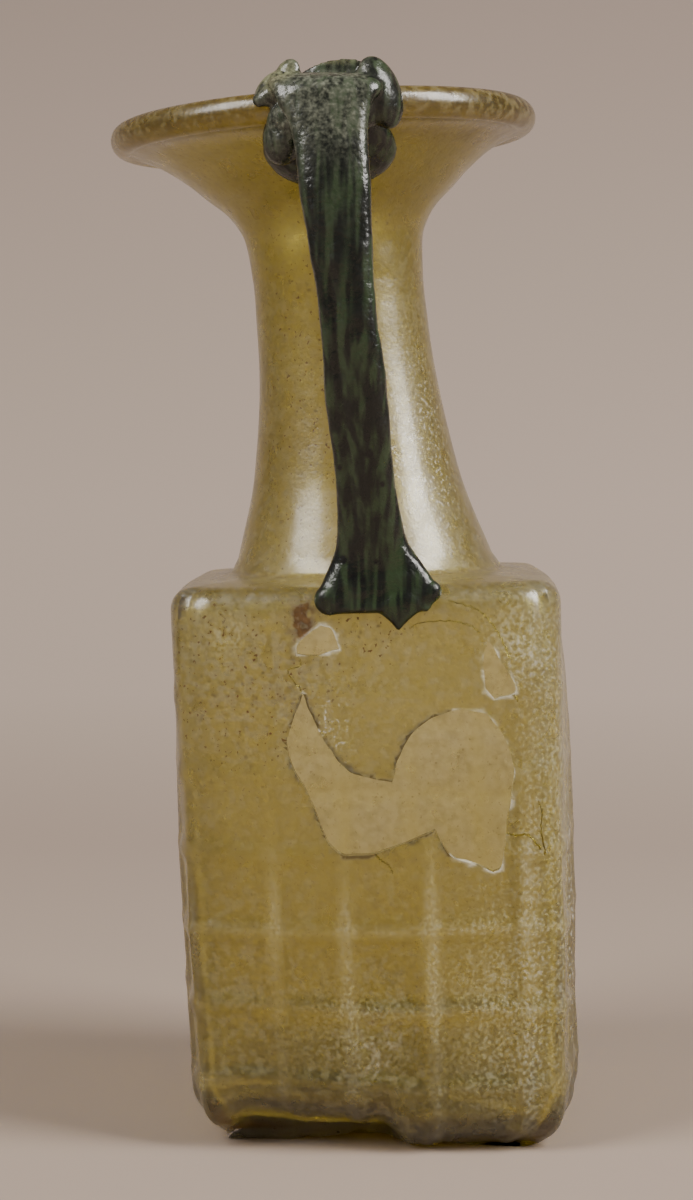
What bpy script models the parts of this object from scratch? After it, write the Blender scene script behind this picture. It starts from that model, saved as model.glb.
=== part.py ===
"""A glass jug: a square body blown in a mould with a raised grid, a leaning neck
with a wide rolled mouth, and one applied handle of darker glass.

Metres, +Z up. The handle is at the front, on the -Y side. The base's middle is the
modelling origin; at the end the whole jug is moved so that the middle of its
bounding box, at the foot, is at the world's origin.
"""

import math

import bmesh
import bpy
from mathutils import Matrix, Vector

# Body: a square with rounded upright corners and slightly bulging walls. The corners widen and
# the walls flatten towards the shoulder, from these shares of the height
BASE_WIDTH = 0.0688
SHOULDER_WIDTH = 0.0724
BODY_HEIGHT = 0.1056
CORNER_RADIUS = 0.0070
SHOULDER_CORNER_RADIUS = 0.0085
CORNER_GROWTH_START = 0.80
SIDE_BULGE = 0.0026
BULGE_LOSS = 0.75
BULGE_LOSS_START = 0.70
BASE_ROUND = 0.0095
SHOULDER_ROUND = 0.0042
SHOULDER_RISE = 0.0010

# Glass thickness
WALL = 0.0021
BASE_THICKNESS = 0.0042

# Underside: a flat resting ring round a pushed-in middle, arched up at the front left
RESTING_RING = 0.0060
BASE_KICK = 0.0024
KICK_HALF_WAY = 0.8
ARCH_RISE = 0.0042
ARCH_START = -0.0360
ARCH_END = 0.0050
ARCH_FADE = 0.0120
ARCH_DEPTH = 0.0090
ARCH_HEIGHT = 0.0220

# Grid relief: upright ribs and level rows, fading towards the shoulder
RIB_HEIGHT = 0.0011
RIB_WIDTH = 0.0060
FRONT_RIBS = (-0.0177, -0.0052, 0.0098, 0.0262)
PLAIN_RIB_PITCH = 0.0136
PLAIN_RIB_COUNT = 4
ROW_START = 0.0128
ROW_PITCH = 0.0146
ROW_COUNT = 6
RELIEF_FULL_BELOW = 0.0400
RELIEF_FAINT_ABOVE = 0.0882
RELIEF_GONE_ABOVE = 0.0980
RELIEF_LOSS = 0.75
CROSSING_RISE = 0.25

# Neck and mouth
RIM_HEIGHT = 0.1917
RIM_RADIUS = 0.0414
ROLL_HEIGHT = 0.0058
ROLL_WIDTH = 0.0052
ROLL_START_DEG = -112
ROLL_SWEEP_DEG = 275
NECK_FOOT_RADIUS = 0.0253
NECK_RADIUS = 0.0166
# The neck's soft foot: radius as a share of the foot's, height as a share of the neck's
NECK_FILLET = ((1.085, 0.0), (1.030, 0.012))
# Share of the way from shoulder to rim, and how much of the taper or flare is left there
NECK_TAPER = ((0.03, 1.0), (0.19, 0.50), (0.29, 0.29), (0.39, 0.15), (0.50, 0.05), (0.62, 0.0))
MOUTH_FLARE = (
    (0.66, 0.0),
    (0.76, 0.03),
    (0.80, 0.09),
    (0.83, 0.17),
    (0.86, 0.29),
    (0.90, 0.44),
    (0.94, 0.63),
    (0.97, 0.82),
)

# Lean to the left, as the jug was blown; shoulder and rim also dip to the left
BODY_LEAN_DEG = 2.1
NECK_LEAN_DEG = 5.7
SHOULDER_TILT_DEG = 1.3
RIM_TILT_DEG = 3.6
TILT_START = 0.60

# Handle: a strap from the front edge of the shoulder to the rim
CONTACT_GAP = 0.0003
HANDLE_OFFSET = 0.0022
STRAP_WIDTH = 0.0112
STRAP_THICKNESS = 0.0060
STRAP_STANDOFF = 0.0012
STRAP_BOW = 0.0020
STRAP_RISE = 0.0030
STRAP_CHANNEL = 0.0009
CHANNEL_WIDTH = 0.28
CHANNEL_START = 0.05
CHANNEL_FULL = 0.25
SECTION_POWER = 0.8
STRAP_SUNK = 0.10
# The strap's middle line: share of the way up the neck, share of the way out from foot to rim,
# then how many strap thicknesses and bows further out
STRAP_PATH = (
    (-0.058, 0.00, 0.25, 0.0),
    (-0.022, 0.00, 0.05, 0.0),
    (0.060, 0.00, -0.10, 0.0),
    (0.200, 0.28, 0.00, 0.0),
    (0.500, 0.72, 0.00, 1.0),
    (0.800, 1.00, 0.00, 0.5),
    (0.950, 1.00, 0.00, 0.0),
    (1.010, 1.00, -0.08, 0.0),
)
# Share of the way up the neck, width and thickness there, as shares of the strap's
STRAP_SECTIONS = (
    (-0.058, 1.72, 0.50),
    (-0.022, 1.98, 0.86),
    (0.040, 1.55, 1.12),
    (0.085, 1.20, 1.12),
    (0.140, 1.05, 1.05),
    (0.210, 0.97, 1.00),
    (0.400, 1.01, 0.98),
    (0.600, 0.92, 0.98),
    (0.700, 1.02, 1.02),
    (0.800, 1.13, 1.06),
    (0.900, 1.18, 1.06),
    (0.960, 1.30, 1.00),
    (1.010, 1.62, 0.90),
)

# Lumps of the handle, in strap widths: half sizes, and the middle's place to the right, back and
# up from the rim's front edge or, for the foot, from the shoulder's front edge
RIM_LUMPS = (
    {
        "name": "pad",
        "half": (1.0982, 0.3125, 0.9196),
        "at": (0.0, 0.8036, -0.5982),
        "pitch": 51,
    },
    {
        "name": "lip_wrap",
        "half": (1.1161, 0.3839, 0.5179),
        "at": (0.0, -0.0089, -0.0804),
    },
    {
        "name": "right_fold",
        "half": (0.4643, 0.3304, 0.5804),
        "at": (0.7232, 0.0804, 0.2232),
        "roll": -14,
    },
    {
        "name": "left_fold",
        "half": (0.4464, 0.1696, 0.2857),
        "at": (-0.8393, 0.0536, 0.3661),
        "roll": -42,
    },
    {
        "name": "top_fin",
        "half": (0.8393, 0.0893, 0.2232),
        "at": (0.0, 0.3571, 0.4911),
        "roll": -10,
    },
)
FOOT_LUMPS = (
    {
        "name": "claw_left",
        "half": (0.2946, 0.2143, 0.2768),
        "at": (-0.7321, 0.0, -0.2411),
    },
    {
        "name": "claw_middle",
        "half": (0.4554, 0.2143, 0.3750),
        "at": (0.3661, -0.0179, -0.3036),
        "point": 0.75,
    },
    {
        "name": "claw_right",
        "half": (0.2768, 0.1964, 0.1964),
        "at": (0.8304, 0.0357, -0.1429),
        "roll": -35,
    },
)

# The strap's turn over the lip: how far back and up, in strap thicknesses and rises, then as above
STRAP_TURN = (
    (0.20, 0.50, 1.78, 0.80),
    (0.58, 0.85, 1.88, 0.68),
    (1.05, 0.98, 1.92, 0.55),
    (1.45, 0.95, 1.90, 0.42),
)

# Breaks in the front wall, each a closed outline of curved stretches between sharp
# corners, as places (to the right of the wall's leaning middle, down from the shoulder)
BIG_LOSS = (
    (
        (-0.0119, 0.0196),
        (-0.0151, 0.0299),
        (-0.0112, 0.0390),
        (-0.0074, 0.0480),
        (-0.0021, 0.0492),
        (0.0033, 0.0479),
        (0.0114, 0.0447),
    ),
    (
        (0.0114, 0.0447),
        (0.0139, 0.0491),
        (0.0175, 0.0508),
        (0.0219, 0.0526),
    ),
    (
        (0.0219, 0.0526),
        (0.0235, 0.0511),
        (0.0247, 0.0428),
        (0.0262, 0.0340),
        (0.0246, 0.0276),
        (0.0216, 0.0233),
    ),
    (
        (0.0216, 0.0233),
        (0.0160, 0.0225),
        (0.0097, 0.0252),
        (0.0060, 0.0296),
        (0.0039, 0.0356),
    ),
    (
        (0.0039, 0.0356),
        (-0.0035, 0.0338),
        (-0.0078, 0.0289),
        (-0.0105, 0.0233),
        (-0.0119, 0.0196),
    ),
)
CHIP_LOSS = (
    (
        (-0.0080, 0.0071),
        (-0.0123, 0.0104),
        (-0.0127, 0.0125),
    ),
    (
        (-0.0127, 0.0125),
        (-0.0090, 0.0127),
        (-0.0050, 0.0114),
    ),
    (
        (-0.0050, 0.0114),
        (-0.0060, 0.0079),
        (-0.0080, 0.0071),
    ),
)
STRIP_LOSS = (
    (
        (0.0222, 0.0098),
        (0.0212, 0.0134),
        (0.0215, 0.0189),
    ),
    (
        (0.0215, 0.0189),
        (0.0230, 0.0208),
    ),
    (
        (0.0230, 0.0208),
        (0.0270, 0.0191),
        (0.0244, 0.0135),
        (0.0222, 0.0098),
    ),
)
CUT_START = 0.0120
CUT_END = 0.0060

# Fineness of the faceted surface
ROUND_STEPS = 36
ROLL_STEPS = 8
EDGE_STEPS = 4
INNER_EDGE_STEPS = 3
NECK_SHARES = (0.045, 0.10, 0.17, 0.26, 0.37, 0.50, 0.62, 0.70, 0.76, 0.81, 0.86, 0.91, 0.955)
STRAP_SIDES = 14
STRAP_STEPS = 22
STRAP_CROWDING = 0.9
LUMP_SIDES = 12
LUMP_ROWS = 8
LUMP_TIP = 0.35
INNER_PLACES = (-1.0, -0.88, -0.75, -0.50, -0.18, 0.18, 0.50, 0.75, 0.88)
INNER_HEIGHTS = (0.75, 0.50, 0.25)
CURVE_STEPS = 4
SLIVER = 0.00012
SHARP_DEG = 40

LEFT_FRONT_CORNER = math.radians(-135)


def clear_scene():
    for obj in list(bpy.data.objects):
        bpy.data.objects.remove(obj)


def smooth_step(start, end, value):
    share = min(max((value - start) / (end - start), 0.0), 1.0)
    return share * share * (3 - 2 * share)


def hump(value):
    """1 at 0, falling smoothly to 0 at -1 and 1."""
    return 0.5 + 0.5 * math.cos(math.pi * value) if abs(value) < 1 else 0.0


def along(stations, place):
    """The value at a place on the smooth curve through (place, value) stations."""
    if place <= stations[0][0]:
        return stations[0][1]
    if place >= stations[-1][0]:
        return stations[-1][1]
    index = max(i for i, station in enumerate(stations) if station[0] <= place)
    index = min(index, len(stations) - 2)

    def slope(i):
        low, high = max(i - 1, 0), min(i + 1, len(stations) - 1)
        return (stations[high][1] - stations[low][1]) / (stations[high][0] - stations[low][0])

    (start, first), (end, last) = stations[index], stations[index + 1]
    step = end - start
    t = (place - start) / step
    return (
        (2 * t**3 - 3 * t**2 + 1) * first
        + (t**3 - 2 * t**2 + t) * step * slope(index)
        + (3 * t**2 - 2 * t**3) * last
        + (t**3 - t**2) * step * slope(index + 1)
    )


def centre_x(z):
    """How far the jug's middle has moved to the right at this height; it leans left."""
    body = math.tan(math.radians(BODY_LEAN_DEG)) * min(z, BODY_HEIGHT)
    neck = math.tan(math.radians(NECK_LEAN_DEG)) * max(z - BODY_HEIGHT, 0.0)
    return -body - neck


def neck_share(z):
    return (z - BODY_HEIGHT) / (RIM_HEIGHT - BODY_HEIGHT)


def tilt(z):
    """How far a level loop has turned, its left side down, at this height."""
    if z < BODY_HEIGHT:
        return math.radians(SHOULDER_TILT_DEG) * smooth_step(0.0, BODY_HEIGHT, z)
    more = (RIM_TILT_DEG - SHOULDER_TILT_DEG) * smooth_step(TILT_START, 1.0, neck_share(z))
    return math.radians(SHOULDER_TILT_DEG + more)


def leaned(x, y, z):
    """A point at this height above the base, where the leaning jug has it."""
    return Vector((centre_x(z) + x * math.cos(tilt(z)), y, z + x * math.sin(tilt(z))))


def rib_places(side):
    """Where the upright ribs of a wall stand, from the wall's middle. Side 0 is the front."""
    if side == 0:
        return FRONT_RIBS
    return tuple(
        (i - (PLAIN_RIB_COUNT - 1) / 2) * PLAIN_RIB_PITCH for i in range(PLAIN_RIB_COUNT)
    )


def row_heights():
    return tuple(ROW_START + i * ROW_PITCH for i in range(ROW_COUNT))


def half_width(z):
    """The body widens from its foot to its shoulder."""
    share = min(max(z / BODY_HEIGHT, 0.0), 1.0)
    return 0.5 * (BASE_WIDTH + share * (SHOULDER_WIDTH - BASE_WIDTH))


def corner_reach():
    """Distance along a wall, at its foot, from its middle to the middle of its corner."""
    return BASE_WIDTH / 2 - CORNER_RADIUS + CORNER_RADIUS * math.pi / 4


def relief(side, place, z):
    """Height of the raised grid at a place along a wall."""
    strength = 1 - RELIEF_LOSS * smooth_step(RELIEF_FULL_BELOW, RELIEF_FAINT_ABOVE, z)
    strength *= 1 - smooth_step(RELIEF_FAINT_ABOVE, RELIEF_GONE_ABOVE, z)
    half = RIB_WIDTH / 2
    corners = (-corner_reach(), corner_reach())
    upright = max(hump((place - rib) / half) for rib in rib_places(side) + corners)
    level = max(hump((z - row) / half) for row in row_heights())
    crossing = CROSSING_RISE * min(upright, level)
    return RIB_HEIGHT * strength * (max(upright, level) + crossing)


def corner_radius(z):
    growth = smooth_step(CORNER_GROWTH_START * BODY_HEIGHT, BODY_HEIGHT, z)
    return CORNER_RADIUS + growth * (SHOULDER_CORNER_RADIUS - CORNER_RADIUS)


def raise_arch(point):
    """Lifts what is near the floor along the front left stretch of the base."""
    half = BASE_WIDTH / 2
    across = smooth_step(ARCH_START, ARCH_START + ARCH_FADE, point.x)
    across *= 1 - smooth_step(ARCH_END - 0.5 * ARCH_FADE, ARCH_END, point.x)
    inwards = smooth_step(-half + ARCH_DEPTH, -half + 0.5 * ARCH_DEPTH, point.y)
    low = 1 - smooth_step(0.0, ARCH_HEIGHT, point.z)
    return Vector((point.x, point.y, point.z + ARCH_RISE * across * inwards * low))


def wall_point(side, place, z, inset, out):
    """A point on the body at a place along a wall, moved in by inset and out by out."""
    corner = corner_radius(z)
    straight = half_width(z) - corner
    half = half_width(z) - inset
    inner_corner = max(corner - inset, WALL)
    bulge = SIDE_BULGE * math.cos(0.5 * math.pi * place / corner_reach()) ** 2
    bulge *= 1 - BULGE_LOSS * smooth_step(BULGE_LOSS_START * BODY_HEIGHT, BODY_HEIGHT, z)
    place *= (straight + inner_corner * math.pi / 4) / corner_reach()
    turn = Matrix.Rotation(side * math.pi / 2, 2)
    normal = turn @ Vector((0, -1))
    tangent = turn @ Vector((1, 0))
    if abs(place) <= straight:
        flat = tangent * place + normal * (half + bulge + out)
    else:
        sign = math.copysign(1, place)
        angle = (abs(place) - straight) / inner_corner
        centre = tangent * sign * straight + normal * (half - inner_corner)
        direction = normal * math.cos(angle) + tangent * sign * math.sin(angle)
        flat = centre + direction * (inner_corner + bulge + out)
    return leaned(flat.x, flat.y, z)


def outer_places(side):
    """Places round one wall that the grid needs: each rib's crest and both its feet."""
    half = RIB_WIDTH / 2
    reach = corner_reach()
    places = [-reach, -reach + half]
    for rib in rib_places(side):
        places += [rib - half, rib, rib + half]
    return places + [reach - half]


def inner_places(side):
    return [share * corner_reach() for share in INNER_PLACES]


def edge_inset(z, low, low_radius, high, high_radius):
    """How far a wall has turned in at this height, from its rounded edges below and above."""
    if z < low + low_radius:
        depth = min(low + low_radius - z, low_radius)
        return low_radius - math.sqrt(max(low_radius**2 - depth**2, 0.0))
    if z > high - high_radius:
        depth = min(z - high + high_radius, high_radius)
        return high_radius - math.sqrt(max(high_radius**2 - depth**2, 0.0))
    return 0.0


def rounded_heights(low, radius, upwards, steps):
    """Heights at even angles round a rounded edge that starts at low and turns up, or down."""
    angles = [0.5 * math.pi * i / steps for i in range(steps)]
    if upwards:
        return [low + radius * (1 - math.cos(angle)) for angle in angles]
    return [low - radius * (1 - math.cos(angle)) for angle in reversed(angles)]


def body_outside(grow):
    """Loops round the outside of the body, from its underside up to the shoulder."""
    half = RIB_WIDTH / 2
    heights = rounded_heights(0.0, BASE_ROUND, True, EDGE_STEPS)
    for row in row_heights():
        heights += [row - half, row, row + half]
    first_round = BODY_HEIGHT - SHOULDER_ROUND
    heights = [z for z in heights if z < first_round - half]
    heights += [first_round]
    heights += rounded_heights(BODY_HEIGHT, SHOULDER_ROUND, False, EDGE_STEPS)

    def loop(z, inset, with_relief=True):
        points = []
        for side in range(4):
            for place in outer_places(side):
                out = grow + (relief(side, place, z) if with_relief else 0.0)
                point = wall_point(side, place, z, inset, out)
                points.append(raise_arch(point))
        return points

    ring_inset = BASE_ROUND + RESTING_RING
    middle_inset = 0.5 * (ring_inset + BASE_WIDTH / 2)
    middle = [
        point + Vector((0, 0, KICK_HALF_WAY * BASE_KICK - grow))
        for point in loop(0.0, middle_inset, False)
    ]
    ring = [point - Vector((0, 0, grow)) for point in loop(0.0, ring_inset, False)]
    loops = [middle, ring]
    for z in heights:
        inset = edge_inset(z, 0.0, BASE_ROUND, BODY_HEIGHT, SHOULDER_ROUND)
        lowered = grow * (1 - smooth_step(0.0, BASE_ROUND, z))
        raised = grow * smooth_step(first_round, BODY_HEIGHT, z)
        loops.append([p + Vector((0, 0, raised - lowered)) for p in loop(z, inset)])
    return loops


def body_inside():
    """Loops round the inside of the body, from the shoulder down to the floor."""
    floor = BASE_THICKNESS
    ceiling = BODY_HEIGHT - WALL
    base_round = BASE_ROUND - WALL
    shoulder_round = SHOULDER_ROUND - WALL / 2
    upper = rounded_heights(ceiling, shoulder_round, False, INNER_EDGE_STEPS)
    lower = rounded_heights(floor, base_round, True, INNER_EDGE_STEPS)
    heights = list(reversed(upper)) + [ceiling - shoulder_round]
    heights += [share * BODY_HEIGHT for share in INNER_HEIGHTS]
    heights += [floor + base_round] + list(reversed(lower))
    loops = []
    for z in heights:
        inset = WALL + edge_inset(z, floor, base_round, ceiling, shoulder_round)
        loops.append(
            [
                raise_arch(wall_point(side, place, z, inset, 0.0))
                for side in range(4)
                for place in inner_places(side)
            ]
        )
    return loops


def neck_outline():
    """(radius, height) up the outside of the neck, from the shoulder to the roll."""
    length = RIM_HEIGHT - BODY_HEIGHT
    foot = BODY_HEIGHT + SHOULDER_RISE
    points = [(size * NECK_FOOT_RADIUS, foot + share * length) for size, share in NECK_FILLET]
    for share in NECK_SHARES:
        radius = NECK_RADIUS
        radius += (NECK_FOOT_RADIUS - NECK_RADIUS) * along(NECK_TAPER, share)
        radius += (RIM_RADIUS - NECK_RADIUS) * along(MOUTH_FLARE, share)
        points.append((radius, BODY_HEIGHT + share * length))
    return points


def roll_outline(grow):
    """(radius, height) round the rolled lip, from under it, outside and over to its inside."""
    points = []
    for i in range(ROLL_STEPS + 1):
        angle = math.radians(ROLL_START_DEG + ROLL_SWEEP_DEG * i / ROLL_STEPS)
        radius = RIM_RADIUS - ROLL_WIDTH / 2 + (ROLL_WIDTH / 2 + grow) * math.cos(angle)
        points.append((radius, RIM_HEIGHT + (ROLL_HEIGHT / 2 + grow) * math.sin(angle)))
    return points


def moved_sideways(outline, distance):
    """The outline moved along its own normals, outwards where distance is positive."""
    moved = []
    for i, (radius, z) in enumerate(outline):
        before, after = outline[max(i - 1, 0)], outline[min(i + 1, len(outline) - 1)]
        run, rise = after[0] - before[0], after[1] - before[1]
        size = math.hypot(run, rise)
        moved.append((radius + distance * rise / size, z - distance * run / size))
    return moved


def round_loop(radius, z):
    """A ring of the neck, square to the neck's own tilt at that height."""
    points = []
    for i in range(ROUND_STEPS):
        angle = LEFT_FRONT_CORNER + 2 * math.pi * i / ROUND_STEPS
        points.append(leaned(radius * math.cos(angle), radius * math.sin(angle), z))
    return points


def neck_inside():
    """(radius, height) down the inside, from the roll to under the shoulder."""
    wall = moved_sideways(neck_outline(), -WALL)
    return list(reversed(wall[1:]))


def join_loops(mesh, lower, upper):
    """Faces between two closed loops of vertices, which may differ in count."""
    if len(lower) == len(upper):
        for i in range(len(lower)):
            j = (i + 1) % len(lower)
            mesh.faces.new((lower[i], lower[j], upper[j], upper[i]))
        return

    def turns(loop):
        middle = sum((vertex.co for vertex in loop), Vector()) / len(loop)
        angles = [math.atan2(v.co.y - middle.y, v.co.x - middle.x) for v in loop]
        swept = [(angle - angles[0]) % (2 * math.pi) for angle in angles]
        return swept + [2 * math.pi]

    low_turns, high_turns = turns(lower), turns(upper)
    i = j = 0
    while i < len(lower) or j < len(upper):
        here_low, here_high = lower[i % len(lower)], upper[j % len(upper)]
        if j == len(upper) or (i < len(lower) and low_turns[i + 1] <= high_turns[j + 1]):
            i += 1
            mesh.faces.new((here_low, lower[i % len(lower)], here_high))
        else:
            j += 1
            mesh.faces.new((here_low, upper[j % len(upper)], here_high))


def new_object(name, mesh, material):
    bmesh.ops.recalc_face_normals(mesh, faces=mesh.faces)
    data = bpy.data.meshes.new(name)
    mesh.to_mesh(data)
    mesh.free()
    if material:
        data.materials.append(material)
    data.shade_smooth()
    data.set_sharp_from_angle(angle=math.radians(SHARP_DEG))
    obj = bpy.data.objects.new(name, data)
    bpy.context.scene.collection.objects.link(obj)
    return obj


def make_helper(obj):
    obj.hide_render = True
    obj.display_type = "WIRE"
    return obj


def outside_loops(grow=0.0):
    """The vessel's outside from its underside up, and over its rolled lip."""
    neck = moved_sideways(neck_outline(), grow)
    return body_outside(grow) + [
        round_loop(radius, z) for radius, z in neck + roll_outline(grow)
    ]


def closed_skin(name, material, loops, underside_z, top):
    """One closed body from loops of points, its two ends closed to a middle point each."""
    mesh = bmesh.new()
    rings = [[mesh.verts.new(point) for point in loop] for loop in loops]
    for lower, upper in zip(rings, rings[1:]):
        join_loops(mesh, lower, upper)
    underside = mesh.verts.new((0, 0, underside_z))
    end = mesh.verts.new(top)
    for middle, ring, turned in ((underside, rings[0], True), (end, rings[-1], False)):
        for first, second in zip(ring, ring[1:] + ring[:1]):
            corners = (middle, second, first) if turned else (middle, first, second)
            mesh.faces.new(corners)
    return new_object(name, mesh, material)


def vessel_body(material):
    """The whole hollow vessel: up its outside, over the lip and down its inside."""
    loops = outside_loops()
    loops += [round_loop(radius, z) for radius, z in neck_inside()]
    loops += body_inside()
    floor = (0, 0, BASE_KICK + BASE_THICKNESS)
    return closed_skin("vessel", material, loops, BASE_KICK, floor)


def clearance_cutter():
    """The vessel's outside, a contact gap larger, with a shallow hollow at its mouth."""
    mouth = (centre_x(RIM_HEIGHT), 0, RIM_HEIGHT - ROLL_HEIGHT)
    loops = outside_loops(CONTACT_GAP)
    return make_helper(
        closed_skin("clearance_cutter", None, loops, BASE_KICK - CONTACT_GAP, mouth)
    )


def curved_outline(stretches):
    """Points round a closed outline whose stretches are smooth and meet at sharp corners."""
    outline = []
    for stretch in stretches:
        count = len(stretch)
        across = [(i, place[0]) for i, place in enumerate(stretch)]
        upwards = [(i, place[1]) for i, place in enumerate(stretch)]
        steps = (count - 1) * CURVE_STEPS if count > 2 else 1
        for step in range(steps):
            place = (count - 1) * step / steps
            outline.append((along(across, place), along(upwards, place)))
    return outline


def loss_cutter():
    """Prisms through the front wall, one for each break."""
    mesh = bmesh.new()
    outside = -SHOULDER_WIDTH / 2 - SIDE_BULGE - CUT_START
    inside = -BASE_WIDTH / 2 + WALL + CUT_END
    for stretches in (BIG_LOSS, CHIP_LOSS, STRIP_LOSS):
        outline = [(x, BODY_HEIGHT - down) for x, down in curved_outline(stretches)]
        outline = [(x + centre_x(z), z) for x, z in outline]
        front = [mesh.verts.new((x, outside, z)) for x, z in outline]
        back = [mesh.verts.new((x, inside, z)) for x, z in outline]
        mesh.faces.new(front)
        mesh.faces.new(list(reversed(back)))
        for i in range(len(outline)):
            j = (i + 1) % len(outline)
            mesh.faces.new((front[j], front[i], back[i], back[j]))
    return make_helper(new_object("loss_cutter", mesh, None))


def strap_path():
    """The strap's middle line as (share up the neck, distance to the front) stations."""
    foot = SHOULDER_WIDTH / 2 - STRAP_SUNK * STRAP_THICKNESS
    top = RIM_RADIUS + STRAP_STANDOFF + STRAP_THICKNESS / 2
    return [
        (share, foot + out * (top - foot) + depths * STRAP_THICKNESS + bows * STRAP_BOW)
        for share, out, depths, bows in STRAP_PATH
    ]


def strap_section(width, thickness, channel):
    """A flattened round section with a shallow channel down its front."""
    points = []
    for i in range(STRAP_SIDES):
        angle = 2 * math.pi * (i + 0.5) / STRAP_SIDES
        across, out = math.cos(angle), math.sin(angle)
        x = 0.5 * width * math.copysign(abs(across) ** SECTION_POWER, across)
        y = 0.5 * thickness * math.copysign(abs(out) ** SECTION_POWER, out)
        if y < 0:
            y += channel * hump(x / (CHANNEL_WIDTH * width))
        points.append((x, y))
    return points


def strap(material):
    """The strap, from its foot over the shoulder's edge up to its bend above the rim."""
    shares = [i / (STRAP_STEPS - 1) for i in range(STRAP_STEPS)]
    start, end = STRAP_SECTIONS[0][0], STRAP_SECTIONS[-1][0]
    widths = [(share, width) for share, width, _ in STRAP_SECTIONS]
    depths = [(share, depth) for share, _, depth in STRAP_SECTIONS]
    path = strap_path()
    length = RIM_HEIGHT - BODY_HEIGHT
    middles, sections = [], []
    for t in shares:
        share = start + (end - start) * (0.5 - 0.5 * math.cos(math.pi * t)) ** STRAP_CROWDING
        z = BODY_HEIGHT + share * length
        middles.append(Vector((centre_x(z) + HANDLE_OFFSET, -along(path, share), z)))
        width = STRAP_WIDTH * along(widths, share)
        depth = STRAP_THICKNESS * along(depths, share)
        fade = smooth_step(CHANNEL_START, CHANNEL_FULL, share)
        sections.append(strap_section(width, depth, STRAP_CHANNEL * fade))
    bend = middles[-1]
    for back, up, width, depth in STRAP_TURN:
        middles.append(bend + Vector((0, back * STRAP_THICKNESS, up * STRAP_RISE)))
        sections.append(strap_section(width * STRAP_WIDTH, depth * STRAP_THICKNESS, 0.0))
    mesh = bmesh.new()
    rings = []
    for i, (middle, section) in enumerate(zip(middles, sections)):
        before, after = middles[max(i - 1, 0)], middles[min(i + 1, len(middles) - 1)]
        direction = (after - before).normalized()
        across = (Vector((1, 0, 0)) - direction * direction.x).normalized()
        outwards = direction.cross(across)
        rings.append([mesh.verts.new(middle + across * x + outwards * y) for x, y in section])
    for lower, upper in zip(rings, rings[1:]):
        join_loops(mesh, lower, upper)
    mesh.faces.new(list(reversed(rings[0])))
    mesh.faces.new(rings[-1])
    return new_object("handle", mesh, material)


def lump(name, start, at, half, pitch=0.0, roll=0.0, point=0.0, curl=0.0):
    """A rounded lump, pitched and rolled in degrees. Point draws its lower end out to a tip,
    and curl is the radius its sides are bent back round."""
    mesh = bmesh.new()
    bmesh.ops.create_uvsphere(mesh, u_segments=LUMP_SIDES, v_segments=LUMP_ROWS, radius=1.0)
    turn = Matrix.Rotation(math.radians(roll), 3, "Y")
    turn = turn @ Matrix.Rotation(math.radians(pitch), 3, "X")
    for vertex in mesh.verts:
        x, y, z = vertex.co
        lowness = smooth_step(0.0, -1.0, z)
        x *= 1 - point * lowness
        z *= 1 + LUMP_TIP * point * lowness
        placed = turn @ Vector((x * half[0], y * half[1], z * half[2])) + Vector(at)
        placed *= STRAP_WIDTH
        if curl:
            placed.y += placed.x**2 / (2 * curl)
        vertex.co = placed + Vector(start)
    return make_helper(new_object(name, mesh, None))


def handle_lumps():
    """The pad under the rim, the pinched folds above it and the claws of the foot."""
    rim = (centre_x(RIM_HEIGHT) + HANDLE_OFFSET, -RIM_RADIUS, RIM_HEIGHT)
    foot = (centre_x(BODY_HEIGHT) + HANDLE_OFFSET, -SHOULDER_WIDTH / 2, BODY_HEIGHT)
    lumps = [lump(start=rim, curl=RIM_RADIUS, **shape) for shape in RIM_LUMPS]
    return lumps + [lump(start=foot, **shape) for shape in FOOT_LUMPS]


def glass(name, colour, roughness):
    material = bpy.data.materials.new(name)
    material.use_nodes = True
    shader = material.node_tree.nodes["Principled BSDF"]
    shader.inputs["Base Color"].default_value = (*colour, 1.0)
    shader.inputs["Roughness"].default_value = roughness
    shader.inputs["Metallic"].default_value = 0.0
    shader.inputs["IOR"].default_value = 1.5
    shader.inputs["Transmission Weight"].default_value = 0.9
    material.diffuse_color = (*colour, 0.6)
    return material


def boolean(obj, operation, other):
    modifier = obj.modifiers.new(f"{operation.lower()}_{other.name}", "BOOLEAN")
    modifier.operation = operation
    modifier.object = other
    modifier.solver = "EXACT"


def merge_slivers(obj):
    """Joins the points that a cut leaves closer together than SLIVER."""
    modifier = obj.modifiers.new("slivers", "WELD")
    modifier.merge_threshold = SLIVER


def centre_on_origin(objects):
    """Parents everything to an empty that puts the middle of the solids' box over the origin."""
    bpy.context.view_layer.update()
    graph = bpy.context.evaluated_depsgraph_get()
    corners = []
    for obj in objects:
        if not obj.hide_render:
            evaluated = obj.evaluated_get(graph)
            corners += [evaluated.matrix_world @ Vector(corner) for corner in evaluated.bound_box]
    lowest = [min(corner[axis] for corner in corners) for axis in range(3)]
    highest = [max(corner[axis] for corner in corners) for axis in range(3)]
    jug = bpy.data.objects.new("jug", None)
    bpy.context.scene.collection.objects.link(jug)
    jug.location = (
        -0.5 * (lowest[0] + highest[0]),
        -0.5 * (lowest[1] + highest[1]),
        -lowest[2],
    )
    for obj in objects:
        obj.parent = jug


def main():
    clear_scene()
    olive = glass("olive_glass", (0.55, 0.47, 0.18), 0.12)
    dark = glass("dark_green_glass", (0.04, 0.09, 0.05), 0.10)
    vessel = vessel_body(olive)
    losses = loss_cutter()
    boolean(vessel, "DIFFERENCE", losses)
    merge_slivers(vessel)
    handle = strap(dark)
    lumps = handle_lumps()
    for piece in lumps:
        boolean(handle, "UNION", piece)
    clearance = clearance_cutter()
    boolean(handle, "DIFFERENCE", clearance)
    centre_on_origin([vessel, handle, losses, clearance] + lumps)


main()
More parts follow.
